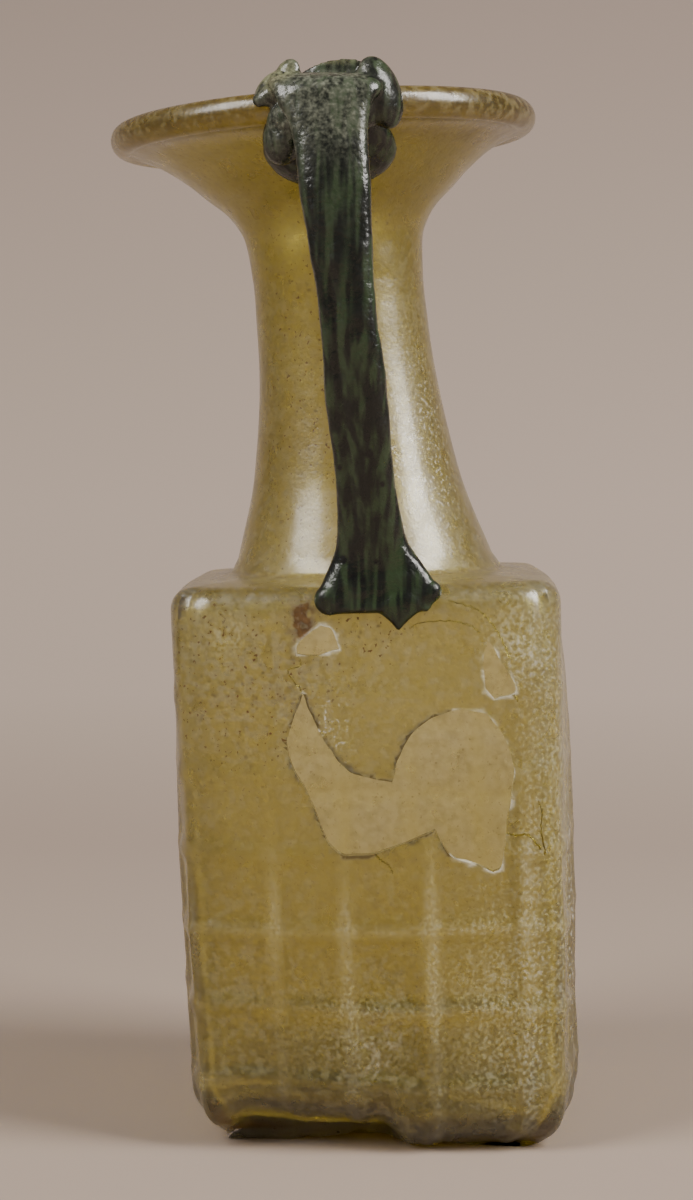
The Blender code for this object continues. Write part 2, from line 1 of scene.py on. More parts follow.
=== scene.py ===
"""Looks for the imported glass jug: its own glass, its weathering, a floor and soft light.

Metres, +Z up. The jug is modelled round the middle of its base, as the solids are, and is
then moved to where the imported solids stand.
"""

import math

import bmesh
import bpy
import numpy as np
from mathutils import Matrix, Vector, noise


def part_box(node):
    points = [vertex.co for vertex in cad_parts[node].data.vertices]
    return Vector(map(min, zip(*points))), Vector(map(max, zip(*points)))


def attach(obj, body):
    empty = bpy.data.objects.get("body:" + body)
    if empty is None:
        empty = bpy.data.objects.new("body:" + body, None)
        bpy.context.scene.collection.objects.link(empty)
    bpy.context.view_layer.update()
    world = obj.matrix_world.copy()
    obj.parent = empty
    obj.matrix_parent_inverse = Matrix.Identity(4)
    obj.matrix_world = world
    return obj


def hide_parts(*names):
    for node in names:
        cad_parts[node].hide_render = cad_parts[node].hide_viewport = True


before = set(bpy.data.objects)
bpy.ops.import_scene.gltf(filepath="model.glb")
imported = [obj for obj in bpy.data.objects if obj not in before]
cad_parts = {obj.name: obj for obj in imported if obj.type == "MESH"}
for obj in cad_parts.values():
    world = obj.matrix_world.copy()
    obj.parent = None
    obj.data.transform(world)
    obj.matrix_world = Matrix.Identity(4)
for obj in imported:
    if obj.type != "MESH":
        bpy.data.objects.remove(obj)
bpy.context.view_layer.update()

# Body
BASE_WIDTH = 0.0688
SHOULDER_WIDTH = 0.0724
BODY_HEIGHT = 0.1056
CORNER_RADIUS = 0.0070
SHOULDER_CORNER_RADIUS = 0.0085
CORNER_GROWTH_START = 0.80
SIDE_BULGE = 0.0026
BULGE_FADE = 0.75
BULGE_FADE_START = 0.70
SHOULDER_EASE = 0.0015
EASE_START = 0.0840
BASE_ROUND = 0.0095
SHOULDER_ROUND = 0.0042
SHOULDER_RISE = 0.0010
WALL = 0.0021
BASE_THICKNESS = 0.0042
RESTING_RING = 0.0060
BASE_KICK = 0.0024
ARCH_RISE = 0.0042
ARCH_START = -0.0360
ARCH_END = 0.0050
ARCH_FADE = 0.0120
ARCH_DEPTH = 0.0090
ARCH_HEIGHT = 0.0220

# From the middle of a side round to the middle of its corner
CORNER_REACH = BASE_WIDTH / 2 - CORNER_RADIUS + CORNER_RADIUS * math.pi / 4

# Grid relief
RIB_HEIGHT = 0.0013
RIB_WIDTH = 0.0064
FRONT_RIBS = (-0.0177, -0.0052, 0.0098, 0.0262)
PLAIN_RIB_PITCH = 0.0136
PLAIN_RIBS = tuple((i - 1.5) * PLAIN_RIB_PITCH for i in range(4))
ROW_START = 0.0128
ROW_PITCH = 0.0146
ROW_COUNT = 6
ROW_STRENGTH = 0.75
CROSSING_POWER = 2.4
MEAN_STRENGTH = 0.80
INNER_RELIEF = 0.35
RELIEF_FADE = 0.75
RELIEF_FULL_BELOW = 0.0400
RELIEF_GONE_ABOVE = 0.0980
RELIEF_WEAK_ABOVE = 0.9 * RELIEF_GONE_ABOVE

# Neck and mouth. The rim is a little smaller than the solid's, whose facets lie inside its circle
RIM_HEIGHT = 0.1917
RIM_RADIUS = 0.0412
RIM_FRONT = 0.0414
ROLL_HEIGHT = 0.0058
ROLL_WIDTH = 0.0052
ROLL_FROM_DEG = -112
ROLL_SWEEP_DEG = 275
NECK_FOOT_RADIUS = 0.0253
NECK_RADIUS = 0.0166
NECK_START = 0.045
NECK_END = 0.955
NECK_FOOT = ((1.085, 0.0), (1.050, 0.003), (1.030, 0.010), (1.012, 0.020))
NECK_TAPER = ((0.03, 1.0), (0.19, 0.50), (0.29, 0.29), (0.39, 0.15), (0.50, 0.05), (0.62, 0.0))
MOUTH_FLARE = (
    (0.66, 0.0), (0.76, 0.03), (0.80, 0.09), (0.83, 0.17),
    (0.86, 0.29), (0.90, 0.44), (0.94, 0.63), (0.97, 0.82),
)
BODY_LEAN_DEG = 2.1
NECK_LEAN_DEG = 5.7
SHOULDER_TILT_DEG = 1.3
RIM_TILT_DEG = 3.6
TILT_START = 0.60

# Handle. A section of the strap is (share of the neck's height, width, depth), and a row of
# its turn over the rim is (back, up, width, depth), both in the strap's own measures
CONTACT_GAP = 0.0001
HANDLE_OFFSET = 0.0022
STRAP_WIDTH = 0.0112
STRAP_THICKNESS = 0.0060
STRAP_THINNING = 0.08
STRAP_STANDOFF = 0.0012
STRAP_BOW = 0.0020
STRAP_RISE = 0.0030
STRAP_SQUARENESS = 0.8
STRAP_CHANNEL = 0.0009
CHANNEL_PLACE = -0.24
CHANNEL_WIDTH = 0.16
STRAP_SECTIONS = (
    (-0.058, 1.72, 0.50), (-0.022, 1.98, 0.86), (0.040, 1.55, 1.12),
    (0.085, 1.20, 1.12), (0.140, 1.05, 1.05), (0.210, 0.97, 1.00),
    (0.400, 1.01, 0.98), (0.600, 0.92, 0.98), (0.700, 1.02, 1.02),
    (0.800, 1.13, 1.06), (0.900, 1.18, 1.06), (0.960, 1.30, 1.00),
    (1.010, 1.62, 0.90),
)
STRAP_TURN = (
    (0.00, 0.00, 1.62, 0.90),
    (0.20, 0.50, 1.78, 0.80),
    (0.58, 0.85, 1.88, 0.68),
    (1.05, 0.98, 1.92, 0.55),
    (1.45, 0.95, 1.90, 0.42),
)

# Lumps of the handle, placed from the rim's front point and from the shoulder's front edge:
# half sizes, place, turns in degrees, and how far the lower end comes to a point
RIM_LUMPS = (
    {"half": (0.0123, 0.0035, 0.0103), "at": (0.0000, 0.0090, -0.0067), "pitch": 51},
    {"half": (0.0116, 0.0041, 0.0054), "at": (0.0004, 0.0002, -0.0012), "roll": -10},
    {"half": (0.0040, 0.0040, 0.0056), "at": (-0.0078, 0.0022, -0.0053), "roll": 8},
    {"half": (0.0040, 0.0037, 0.0068), "at": (0.0092, 0.0004, 0.0020), "roll": -20},
    {"half": (0.0038, 0.0021, 0.0021), "at": (-0.0102, 0.0006, 0.0030), "roll": -42},
    {"half": (0.0022, 0.0016, 0.0028), "at": (-0.0071, 0.0012, 0.0054), "roll": 30},
    {"half": (0.0026, 0.0015, 0.0017), "at": (-0.0110, -0.0008, 0.0012), "roll": -25},
    {"half": (0.0064, 0.0007, 0.0020), "at": (0.0004, 0.0030, 0.0060), "roll": -13},
)
FOOT_LUMPS = (
    {"half": (0.0033, 0.0024, 0.0031), "at": (-0.0082, 0.0000, -0.0027)},
    {"half": (0.0051, 0.0024, 0.0042), "at": (0.0041, -0.0002, -0.0034), "point": 0.75},
    {"half": (0.0031, 0.0022, 0.0022), "at": (0.0093, 0.0004, -0.0016), "roll": -35},
)
POINT_STRETCH = 0.35

# Breaks in the front wall: closed outlines of curved stretches between sharp corners,
# as places (to the right of the wall's leaning middle, down from the shoulder)
BIG_LOSS = (
    (
        (-0.0119, 0.0196), (-0.0151, 0.0299), (-0.0112, 0.0390), (-0.0074, 0.0480),
        (-0.0021, 0.0492), (0.0033, 0.0479), (0.0114, 0.0447),
    ),
    ((0.0114, 0.0447), (0.0139, 0.0491), (0.0175, 0.0508), (0.0219, 0.0526)),
    (
        (0.0219, 0.0526), (0.0235, 0.0511), (0.0247, 0.0428),
        (0.0262, 0.0340), (0.0246, 0.0276), (0.0216, 0.0233),
    ),
    ((0.0216, 0.0233), (0.0160, 0.0225), (0.0097, 0.0252), (0.0060, 0.0296), (0.0039, 0.0356)),
    ((0.0039, 0.0356), (-0.0035, 0.0338), (-0.0078, 0.0289), (-0.0105, 0.0233), (-0.0119, 0.0196)),
)
CHIP_LOSS = (
    ((-0.0080, 0.0071), (-0.0123, 0.0104), (-0.0127, 0.0125)),
    ((-0.0127, 0.0125), (-0.0090, 0.0127), (-0.0050, 0.0114)),
    ((-0.0050, 0.0114), (-0.0060, 0.0079), (-0.0080, 0.0071)),
)
STRIP_LOSS = (
    ((0.0222, 0.0098), (0.0212, 0.0134), (0.0215, 0.0189)),
    ((0.0215, 0.0189), (0.0230, 0.0208)),
    ((0.0230, 0.0208), (0.0270, 0.0191), (0.0244, 0.0135), (0.0222, 0.0098)),
)
LOSSES = (BIG_LOSS, CHIP_LOSS, STRIP_LOSS)
CUT_OUTSIDE = 0.012
CUT_INSIDE = 0.006

# Cracks, as lines of the same kind of places
CRACKS = (
    ((0.0083, 0.0080), (0.0105, 0.0069), (0.0161, 0.0067), (0.0199, 0.0076), (0.0218, 0.0090)),
    ((0.0160, 0.0030), (0.0209, 0.0045), (0.0234, 0.0065), (0.0256, 0.0097), (0.0273, 0.0139)),
    ((0.0240, 0.0212), (0.0262, 0.0206), (0.0278, 0.0205), (0.0285, 0.0216)),
    ((0.0004, 0.0490), (0.0016, 0.0502), (0.0028, 0.0510), (0.0036, 0.0525)),
    ((0.0318, 0.0399), (0.0325, 0.0419), (0.0322, 0.0450), (0.0326, 0.0496)),
    ((0.0250, 0.0456), (0.0272, 0.0460), (0.0297, 0.0461), (0.0318, 0.0487)),
    ((-0.0127, 0.0130), (-0.0127, 0.0144), (-0.0151, 0.0153), (-0.0125, 0.0189)),
)
CRACK_WIDTH = 0.00024
CRACK_DEPTH = 0.0008
CRACK_OUTSIDE = 0.0012
CRACK_TIP = 0.1
CRACK_JITTER = 0.00012
JITTER_PACE = 2.7
JITTER_SHIFT = 9

# Dark bubbles in the strap: (right of the rim's front point, down from it, radius)
BUBBLES = (
    (0.0074, 0.0621, 0.0010), (0.0021, 0.0646, 0.0006), (0.0098, 0.0675, 0.0006),
    (0.0086, 0.0739, 0.0006), (0.0026, 0.0813, 0.0010), (0.0043, 0.0807, 0.0006),
    (0.0045, 0.0843, 0.0006), (0.0062, 0.0850, 0.0006), (0.0086, 0.0816, 0.0006),
    (0.0078, 0.0232, 0.0006),
)
BUBBLE_STRENGTH = 1.6

# Unevenness of the glass: (height, size of its features, seed, stretch along y)
RIB_WAVE = (0.0009, 0.030, 3.1, 7.0)
ROW_WAVE = (0.0010, 0.026, 8.7, 5.0)
STRENGTH_WAVE = (0.35, 0.020, 5.3, 3.0)
OUTER_WAVE = (0.00016, 0.011, 1.7, 9.0)
OUTER_GRAIN = (0.00005, 0.0035, 6.1, 9.0)
INNER_WAVE = (0.00025, 0.014, 4.4, 9.0)
NECK_WAVE = (0.00018, 0.013, 2.2, 1.0)
LIP_WAVE = (0.6 * 0.00018, 0.013, 2.2, 1.0)
NECK_INSIDE_WAVE = (0.00028, 0.013, 7.9, 1.0)
BREAK_ACROSS = (0.00022, 0.0024, 2.0, 1.0)
BREAK_UP = (0.00022, 0.0024, 9.0, 1.0)
HANDLE_WAVE = (0.00022, 0.007, 4.0, 1.0)
HANDLE_GRAIN = (0.00008, 0.0025, 1.0, 1.0)
HANDLE_INSET = 0.0001

# Fineness of the meshes
SIDE_STEPS = 64
ROUND_STEPS = 4 * SIDE_STEPS
OUTSIDE_LEVELS = 96
INSIDE_LEVELS = 56
UNDERSIDE_RINGS = (0.92, 0.75, 0.55, 0.35, 0.15)
KICK_FULL_AT = 0.8
BASE_ROUND_STEPS = 12
SHOULDER_ROUND_STEPS = 8
INNER_BASE_STEPS = 8
INNER_SHOULDER_STEPS = 6
SHOULDER_RINGS = 7
ROLL_STEPS = 22
OUTLINE_STEPS = 10
CRACK_STEPS = 6
STRAP_STEPS = 150
TURN_STEPS = 24
SECTION_STEPS = 48
LUMP_SEGMENTS = 40
LUMP_RINGS = 24
HANDLE_VOXEL = 0.0004
SMOOTH_FACTOR = 0.5
SMOOTH_ROUNDS = 5
CLEARANCE_SIDE_STEPS = 36
CLEARANCE_LEVELS = 48
SHARP_ANGLE = math.radians(50)
LEFT_FRONT_CORNER = math.radians(-135)

# Where the weathering of the vessel lies, and where its painted shade and highlights lie. Fields
# are (x, y, z, half widths x, y, z, strength)
FRONT_Y = -0.030
FRONT_EDGE = 0.0015
FRONT_FULL_Y = -0.033
FRONT_TOP_Z = 0.103
LOW_FROM_Z = 0.085
LOW_FULL_Z = 0.045
BREAK_ZONE = (0.040, 0.105)
BREAK_REACH = 0.0005
# Break edges to the left of and below this place take painted shade, the others painted highlight
BREAK_SHADE = (0.012, 0.086)
INNER_CORNER_PLACE = 0.027
INNER_CORNER_REACH = 0.006
# Where along the rise of a rib the painted shade of its flanks lies
FLANK_AT = 0.30
FLANK_WIDTH = 0.18
AMBER_FIELDS = ((-0.002, -0.037, 0.021, 0.013, 0.008, 0.015, 0.5),)
# Pale deposits; the first two fields are painted highlights at the front's upper right and left
# corners
PALE_AND_HIGHLIGHT_FIELDS = (
    (0.0250, -0.037, 0.0950, 0.0065, 0.008, 0.0085, 1.00),
    (-0.0290, -0.037, 0.0965, 0.0050, 0.008, 0.0060, 0.50),
    (0.030, -0.030, 0.065, 0.009, 0.012, 0.045, 0.65),
    (0.006, -0.020, 0.135, 0.009, 0.012, 0.025, 0.60),
    (0.024, -0.036, 0.028, 0.013, 0.008, 0.024, 0.70),
    (-0.004, -0.036, 0.024, 0.012, 0.008, 0.010, 0.55),
    (-0.012, -0.036, 0.076, 0.005, 0.008, 0.006, 0.80),
    (0.030, 0.010, 0.060, 0.008, 0.030, 0.030, 0.40),
)
GRIME_FIELDS = (
    (-0.002, -0.037, 0.020, 0.010, 0.008, 0.014, 1.0),
    (-0.022, -0.037, 0.088, 0.012, 0.008, 0.010, 0.6),
    (-0.024, -0.037, 0.030, 0.010, 0.008, 0.014, 0.5),
)
SPECK_FIELDS = (
    (-0.029, -0.037, 0.088, 0.014, 0.010, 0.012, 0.9),
    (-0.005, -0.037, 0.096, 0.006, 0.010, 0.005, 0.8),
    (-0.017, -0.020, 0.140, 0.012, 0.012, 0.025, 0.6),
)
STAIN_FIELDS = ((-0.0150, -0.037, 0.0985, 0.0018, 0.006, 0.0045, 0.9),)
# Flaking; the second field paints glints into the highlight at the front's upper right corner
FLAKE_AND_GLINT_FIELDS = (
    (0.0365, -0.028, 0.060, 0.0026, 0.012, 0.045, 0.9),
    (0.028, -0.036, 0.092, 0.006, 0.012, 0.008, 0.30),
    (0.006, -0.020, 0.130, 0.009, 0.012, 0.022, 0.6),
    (-0.012, -0.037, 0.078, 0.005, 0.008, 0.008, 0.7),
    (0.028, -0.037, 0.030, 0.005, 0.012, 0.025, 0.30),
)

# The same for the handle, measured from the rim's front point
HANDLE_PALE_FIELDS = (
    (-0.0098, 0.001, 0.0050, 0.0042, 0.006, 0.0036, 1.0),
    (0.0010, 0.003, 0.0078, 0.0055, 0.003, 0.0010, 0.5),
)
HANDLE_RUST_FIELDS = ((0.0093, 0.001, -0.0085, 0.0008, 0.004, 0.0045, 0.8),)

# Glass. Olive films, and the painted highlights that pale and flakes_and_glints also carry, lie
# over one another in this order: (attribute, noise, where in the noise the film starts and is full,
# strength, colour)
GLASS_IOR = 1.5
COAT_ROUGHNESS = 0.16
BUMP_DISTANCE = 0.0004
TINT_GAIN = 3.0
OLIVE_VOLUME = (0.901, 0.850, 0.126)
OLIVE_DENSITY = 320.0
OLIVE_COAT = 0.40
OLIVE_BASE = ((0.91, 0.89, 0.70), (0.96, 0.95, 0.85))
# The deeper tint of the glass, also the colour of the painted shade in the grid's cells and along
# its rib flanks
AMBER_AND_SHADE_COLOUR = (0.62, 0.56, 0.15)
RIM_COLOUR = (0.38, 0.31, 0.07)
OLIVE_FILMS_AND_HIGHLIGHTS = (
    ("grime", "middling", 0.42, 0.66, 0.40, (0.30, 0.24, 0.10)),
    # pale also carries painted highlights on the rib crests and at the front's upper corners
    ("pale", "fine", 0.36, 0.70, 0.45, (0.70, 0.67, 0.44)),
    ("specks", "fine", 0.34, 0.30, 1.00, (0.12, 0.06, 0.02)),
    ("stain", "middling", 0.30, 0.60, 1.00, (0.17, 0.09, 0.03)),
    ("flakes_and_glints", "fine", 0.58, 0.66, 1.00, (0.72, 0.70, 0.60)),
)
# Painted shade and painted highlight along the edges of the breaks
EDGE_SHADE_AND_HIGHLIGHT = (
    ("painted_edge_shade", 0.05, 0.80, (0.12, 0.09, 0.03)),
    ("painted_edge_highlight", 0.00, 0.70, (0.78, 0.76, 0.62)),
)
DARK_VOLUME = (0.05, 0.28, 0.10)
DARK_DENSITY = 900.0
DARK_COAT = 0.10
DARK_BASE = ((0.009, 0.017, 0.006), (0.032, 0.060, 0.020))
GREY_COLOUR = (0.190, 0.200, 0.150)
DARK_LAYERS = (
    ("pale", (0.42, 0.43, 0.24)),
    ("rust", (0.13, 0.045, 0.03)),
    ("bubbles", (0.003, 0.003, 0.002)),
)

# Backdrop, light and camera. The camera's measures are in the photograph's pixels where named so
PAPER_ROUGHNESS = 0.85
PAPER_SPECULAR = 0.2
# Painted shade on the paper: a darker floor and a darker top of the backdrop
SHADED_FLOOR_COLOUR = (0.312, 0.247, 0.205)
WALL_COLOUR = (0.368, 0.296, 0.250)
SHADED_TOP_COLOUR = (0.250, 0.198, 0.169)
FLOOR_SHADE_FADE = (0.0, 0.03)
TOP_SHADE_FADE = (0.10, 0.42)
FLOOR_FRONT = -1.20
SWEEP_START = 0.30
SWEEP_RADIUS = 0.55
SWEEP_STEPS = 24
BACKDROP_TOP = 2.2
BACKDROP_HALF = 2.0
LIGHT_TARGET = (0, 0, 0.10)
LIGHT_COLOUR = (1.0, 0.97, 0.93)
LIGHTS = (
    ("left_light", (-0.9, -0.55, 0.95), (0.6, 0.9), 20.0),
    ("right_light", (0.95, -0.35, 0.85), (0.5, 0.9), 28.0),
)
SKY_COLOUR = (1.0, 0.96, 0.92, 1.0)
SKY_STRENGTH = 0.25
CAMERA_DISTANCE = 0.475
CAMERA_HEIGHT = 0.1333
CAMERA_TURN = math.radians(0.5)
CAMERA_PITCH = math.radians(3.95)
SENSOR_HEIGHT = 36.0
PHOTO_PIXELS = (693, 1200)
FOCAL_PIXELS = 2418.0
BASE_COLUMN = 387.0


def smooth_step(start, end, value):
    share = min(max((value - start) / (end - start), 0.0), 1.0)
    return share * share * (3 - 2 * share)


def hump(value):
    return 0.5 + 0.5 * math.cos(math.pi * value) if abs(value) < 1 else 0.0


def neighbours(items, i):
    return items[max(i - 1, 0)], items[min(i + 1, len(items) - 1)]


def along(stations, place):
    """The value at a place on the smooth curve through (place, value) stations."""
    if place <= stations[0][0]:
        return stations[0][1]
    if place >= stations[-1][0]:
        return stations[-1][1]
    index = max(i for i, station in enumerate(stations) if station[0] <= place)
    index = min(index, len(stations) - 2)

    def slope(i):
        before, after = neighbours(stations, i)
        return (after[1] - before[1]) / (after[0] - before[0])

    (start, first), (end, last) = stations[index], stations[index + 1]
    step = end - start
    t = (place - start) / step
    return (
        (2 * t**3 - 3 * t**2 + 1) * first
        + (t**3 - 2 * t**2 + t) * step * slope(index)
        + (3 * t**2 - 2 * t**3) * last
        + (t**3 - t**2) * step * slope(index + 1)
    )


def column(rows, index):
    """One column of a table, as stations at 0, 1, 2 and so on."""
    return [(i, row[index]) for i, row in enumerate(rows)]


def ripple(kind, x, y, z):
    """Smooth noise of this kind, between about minus and plus its height."""
    height, size, seed, stretch = kind
    where = Vector((x / size + seed, stretch * y / size - seed, z / size + 2 * seed))
    return height * noise.noise(where)


def centre_x(z):
    """The leaning axis of the body and of the neck."""
    body = math.tan(math.radians(BODY_LEAN_DEG)) * min(z, BODY_HEIGHT)
    neck = math.tan(math.radians(NECK_LEAN_DEG)) * max(z - BODY_HEIGHT, 0.0)
    return -body - neck


def neck_share(z):
    return (z - BODY_HEIGHT) / (RIM_HEIGHT - BODY_HEIGHT)


def tilt(z):
    if z < BODY_HEIGHT:
        return math.radians(SHOULDER_TILT_DEG) * smooth_step(0.0, BODY_HEIGHT, z)
    more = (RIM_TILT_DEG - SHOULDER_TILT_DEG) * smooth_step(TILT_START, 1.0, neck_share(z))
    return math.radians(SHOULDER_TILT_DEG + more)


def leaned(x, y, z):
    return Vector((centre_x(z) + x * math.cos(tilt(z)), y, z + x * math.sin(tilt(z))))


def half_width(z):
    share = min(max(z / BODY_HEIGHT, 0.0), 1.0)
    return 0.5 * (BASE_WIDTH + share * (SHOULDER_WIDTH - BASE_WIDTH))


def relief(side, place, z):
    """Height of the raised grid: soft ribs and rows whose cells have rounded corners."""
    strength = 1 - RELIEF_FADE * smooth_step(RELIEF_FULL_BELOW, RELIEF_WEAK_ABOVE, z)
    strength *= 1 - smooth_step(RELIEF_WEAK_ABOVE, RELIEF_GONE_ABOVE, z)
    if strength <= 0:
        return 0.0
    place += ripple(RIB_WAVE, place, side, z)
    z += ripple(ROW_WAVE, place, side, z)
    half = RIB_WIDTH / 2
    ribs = (PLAIN_RIBS if side else FRONT_RIBS) + (-CORNER_REACH, CORNER_REACH)
    upright = max(hump((place - rib) / half) for rib in ribs)
    level = max(hump((z - ROW_START - i * ROW_PITCH) / half) for i in range(ROW_COUNT))
    level *= ROW_STRENGTH
    joined = (upright**CROSSING_POWER + level**CROSSING_POWER) ** (1 / CROSSING_POWER)
    return RIB_HEIGHT * strength * joined * (MEAN_STRENGTH + ripple(STRENGTH_WAVE, place, side, z))


def shoulder_ease(side, place, z):
    """How far the front wall draws in near its two upper corners."""
    if side != 0 or z < EASE_START:
        return 0.0
    rise = (z - EASE_START) / (BODY_HEIGHT - EASE_START)
    return SHOULDER_EASE * rise**2 * smooth_step(0.30, 0.85, abs(place) / CORNER_REACH)


def corner_radius(z):
    growth = smooth_step(CORNER_GROWTH_START * BODY_HEIGHT, BODY_HEIGHT, z)
    return CORNER_RADIUS + growth * (SHOULDER_CORNER_RADIUS - CORNER_RADIUS)


def raise_arch(point):
    """Lifts the lower edge of the front into its low arch."""
    half = BASE_WIDTH / 2
    across = smooth_step(ARCH_START, ARCH_START + ARCH_FADE, point.x)
    across *= 1 - smooth_step(ARCH_END - 0.5 * ARCH_FADE, ARCH_END, point.x)
    inwards = smooth_step(-half + ARCH_DEPTH, -half + 0.5 * ARCH_DEPTH, point.y)
    low = 1 - smooth_step(0.0, ARCH_HEIGHT, point.z)
    return Vector((point.x, point.y, point.z + ARCH_RISE * across * inwards * low))


def wall_point(side, place, z, inset, out):
    """A point on a side, counted from the front, at a place that runs round to its corners."""
    corner = corner_radius(z)
    straight = half_width(z) - corner
    half = half_width(z) - inset
    inner_corner = max(corner - inset, WALL)
    bulge = SIDE_BULGE * math.cos(0.5 * math.pi * place / CORNER_REACH) ** 2
    bulge *= 1 - BULGE_FADE * smooth_step(BULGE_FADE_START * BODY_HEIGHT, BODY_HEIGHT, z)
    bulge -= shoulder_ease(side, place, z)
    place *= (straight + inner_corner * math.pi / 4) / CORNER_REACH
    turn = Matrix.Rotation(side * math.pi / 2, 2)
    normal = turn @ Vector((0, -1))
    tangent = turn @ Vector((1, 0))
    if abs(place) <= straight:
        flat = tangent * place + normal * (half + bulge + out)
    else:
        sign = math.copysign(1, place)
        angle = (abs(place) - straight) / inner_corner
        centre = tangent * sign * straight + normal * (half - inner_corner)
        direction = normal * math.cos(angle) + tangent * sign * math.sin(angle)
        flat = centre + direction * (inner_corner + bulge + out)
    return leaned(flat.x, flat.y, z)


def edge_inset(z, low, low_radius, high, high_radius):
    """How far an outline draws in at a rounded lower and upper edge."""
    if z < low + low_radius:
        depth = min(low + low_radius - z, low_radius)
        return low_radius - math.sqrt(max(low_radius**2 - depth**2, 0.0))
    if z > high - high_radius:
        depth = min(z - high + high_radius, high_radius)
        return high_radius - math.sqrt(max(high_radius**2 - depth**2, 0.0))
    return 0.0


def rounded_heights(low, radius, upwards, steps):
    angles = [0.5 * math.pi * i / steps for i in range(steps)]
    if upwards:
        return [low + radius * (1 - math.cos(angle)) for angle in angles]
    return [low - radius * (1 - math.cos(angle)) for angle in reversed(angles)]


def body_loop(count, z, inset, out_at, lift=0.0):
    """A loop round the four sides, which stands out as far as out_at says."""
    points = []
    for side in range(4):
        for i in range(count):
            place = CORNER_REACH * (2 * i / count - 1)
            point = wall_point(side, place, z, inset, out_at(side, place, z))
            points.append(raise_arch(point) + Vector((0, 0, lift)))
    return points


def body_outside(count, levels, grow=0.0, plain=False):
    """Loops round the body from its underside up to the edge of the shoulder's top."""
    ring_inset = BASE_ROUND + RESTING_RING
    first_round = BODY_HEIGHT - SHOULDER_ROUND

    def smooth(side, place, z):
        return grow

    def raised(side, place, z):
        out = grow + relief(side, place, z)
        if not plain:
            out += ripple(OUTER_WAVE, place, side, z)
            out += ripple(OUTER_GRAIN, place, side, z)
        return out

    loops = []
    for share in UNDERSIDE_RINGS:
        inset = ring_inset + share * (BASE_WIDTH / 2 - ring_inset)
        kick = BASE_KICK * smooth_step(0.0, KICK_FULL_AT, share)
        loops.append(body_loop(count, 0.0, inset, smooth, kick - grow))
    loops.append(body_loop(count, 0.0, ring_inset, smooth, -grow))
    heights = rounded_heights(0.0, BASE_ROUND, True, BASE_ROUND_STEPS)
    straight = first_round - BASE_ROUND
    heights += [BASE_ROUND + straight * i / levels for i in range(levels)]
    heights.append(first_round)
    heights += rounded_heights(BODY_HEIGHT, SHOULDER_ROUND, False, SHOULDER_ROUND_STEPS)
    for z in heights:
        inset = edge_inset(z, 0.0, BASE_ROUND, BODY_HEIGHT, SHOULDER_ROUND)
        lowered = grow * (1 - smooth_step(0.0, BASE_ROUND, z))
        lifted = grow * smooth_step(first_round, BODY_HEIGHT, z)
        loops.append(body_loop(count, z, inset, raised, lifted - lowered))
    return loops


def body_inside(count, levels):
    """Loops round the inside of the body, from the shoulder down to the floor."""
    ceiling = BODY_HEIGHT - WALL
    base_round = BASE_ROUND - WALL
    shoulder_round = SHOULDER_ROUND - WALL / 2
    top, bottom = ceiling - shoulder_round, BASE_THICKNESS + base_round
    upper = rounded_heights(ceiling, shoulder_round, False, INNER_SHOULDER_STEPS)
    lower = rounded_heights(BASE_THICKNESS, base_round, True, INNER_BASE_STEPS)
    heights = list(reversed(upper))
    heights += [top + (bottom - top) * i / levels for i in range(levels + 1)]
    heights += list(reversed(lower))

    def out_at(side, place, z):
        return INNER_RELIEF * relief(side, place, z) + ripple(INNER_WAVE, place, side, z)

    loops = []
    for z in heights:
        inset = WALL + edge_inset(z, BASE_THICKNESS, base_round, ceiling, shoulder_round)
        loops.append(body_loop(count, z, inset, out_at))
    return loops


def neck_radius(share):
    radius = NECK_RADIUS + (NECK_FOOT_RADIUS - NECK_RADIUS) * along(NECK_TAPER, share)
    return radius + (RIM_RADIUS - NECK_RADIUS) * along(MOUTH_FLARE, share)


def neck_outline(steps):
    """(radius, height) points from the neck's foot on the shoulder up to the roll."""
    length = RIM_HEIGHT - BODY_HEIGHT
    foot = BODY_HEIGHT + SHOULDER_RISE
    points = [(wide * NECK_FOOT_RADIUS, foot + up * length) for wide, up in NECK_FOOT]
    for i in range(steps + 1):
        share = NECK_START + (NECK_END - NECK_START) * i / steps
        points.append((neck_radius(share), BODY_HEIGHT + share * length))
    return points


def roll_outline(steps, grow=0.0):
    points = []
    for i in range(steps + 1):
        angle = math.radians(ROLL_FROM_DEG + ROLL_SWEEP_DEG * i / steps)
        radius = RIM_RADIUS - ROLL_WIDTH / 2 + (ROLL_WIDTH / 2 + grow) * math.cos(angle)
        points.append((radius, RIM_HEIGHT + (ROLL_HEIGHT / 2 + grow) * math.sin(angle)))
    return points


def moved_sideways(outline, distance):
    moved = []
    for i, (radius, z) in enumerate(outline):
        before, after = neighbours(outline, i)
        run, rise = after[0] - before[0], after[1] - before[1]
        size = math.hypot(run, rise)
        moved.append((radius + distance * rise / size, z - distance * run / size))
    return moved


def round_loop(radius, z, count, kind=None):
    """A loop of the neck that starts where the body's loops do."""
    points = []
    for i in range(count):
        angle = LEFT_FRONT_CORNER + 2 * math.pi * i / count
        x, y = math.cos(angle), math.sin(angle)
        wave = ripple(kind, x * radius, y * radius, z) if kind else 0.0
        points.append(leaned((radius + wave) * x, (radius + wave) * y, z))
    return points


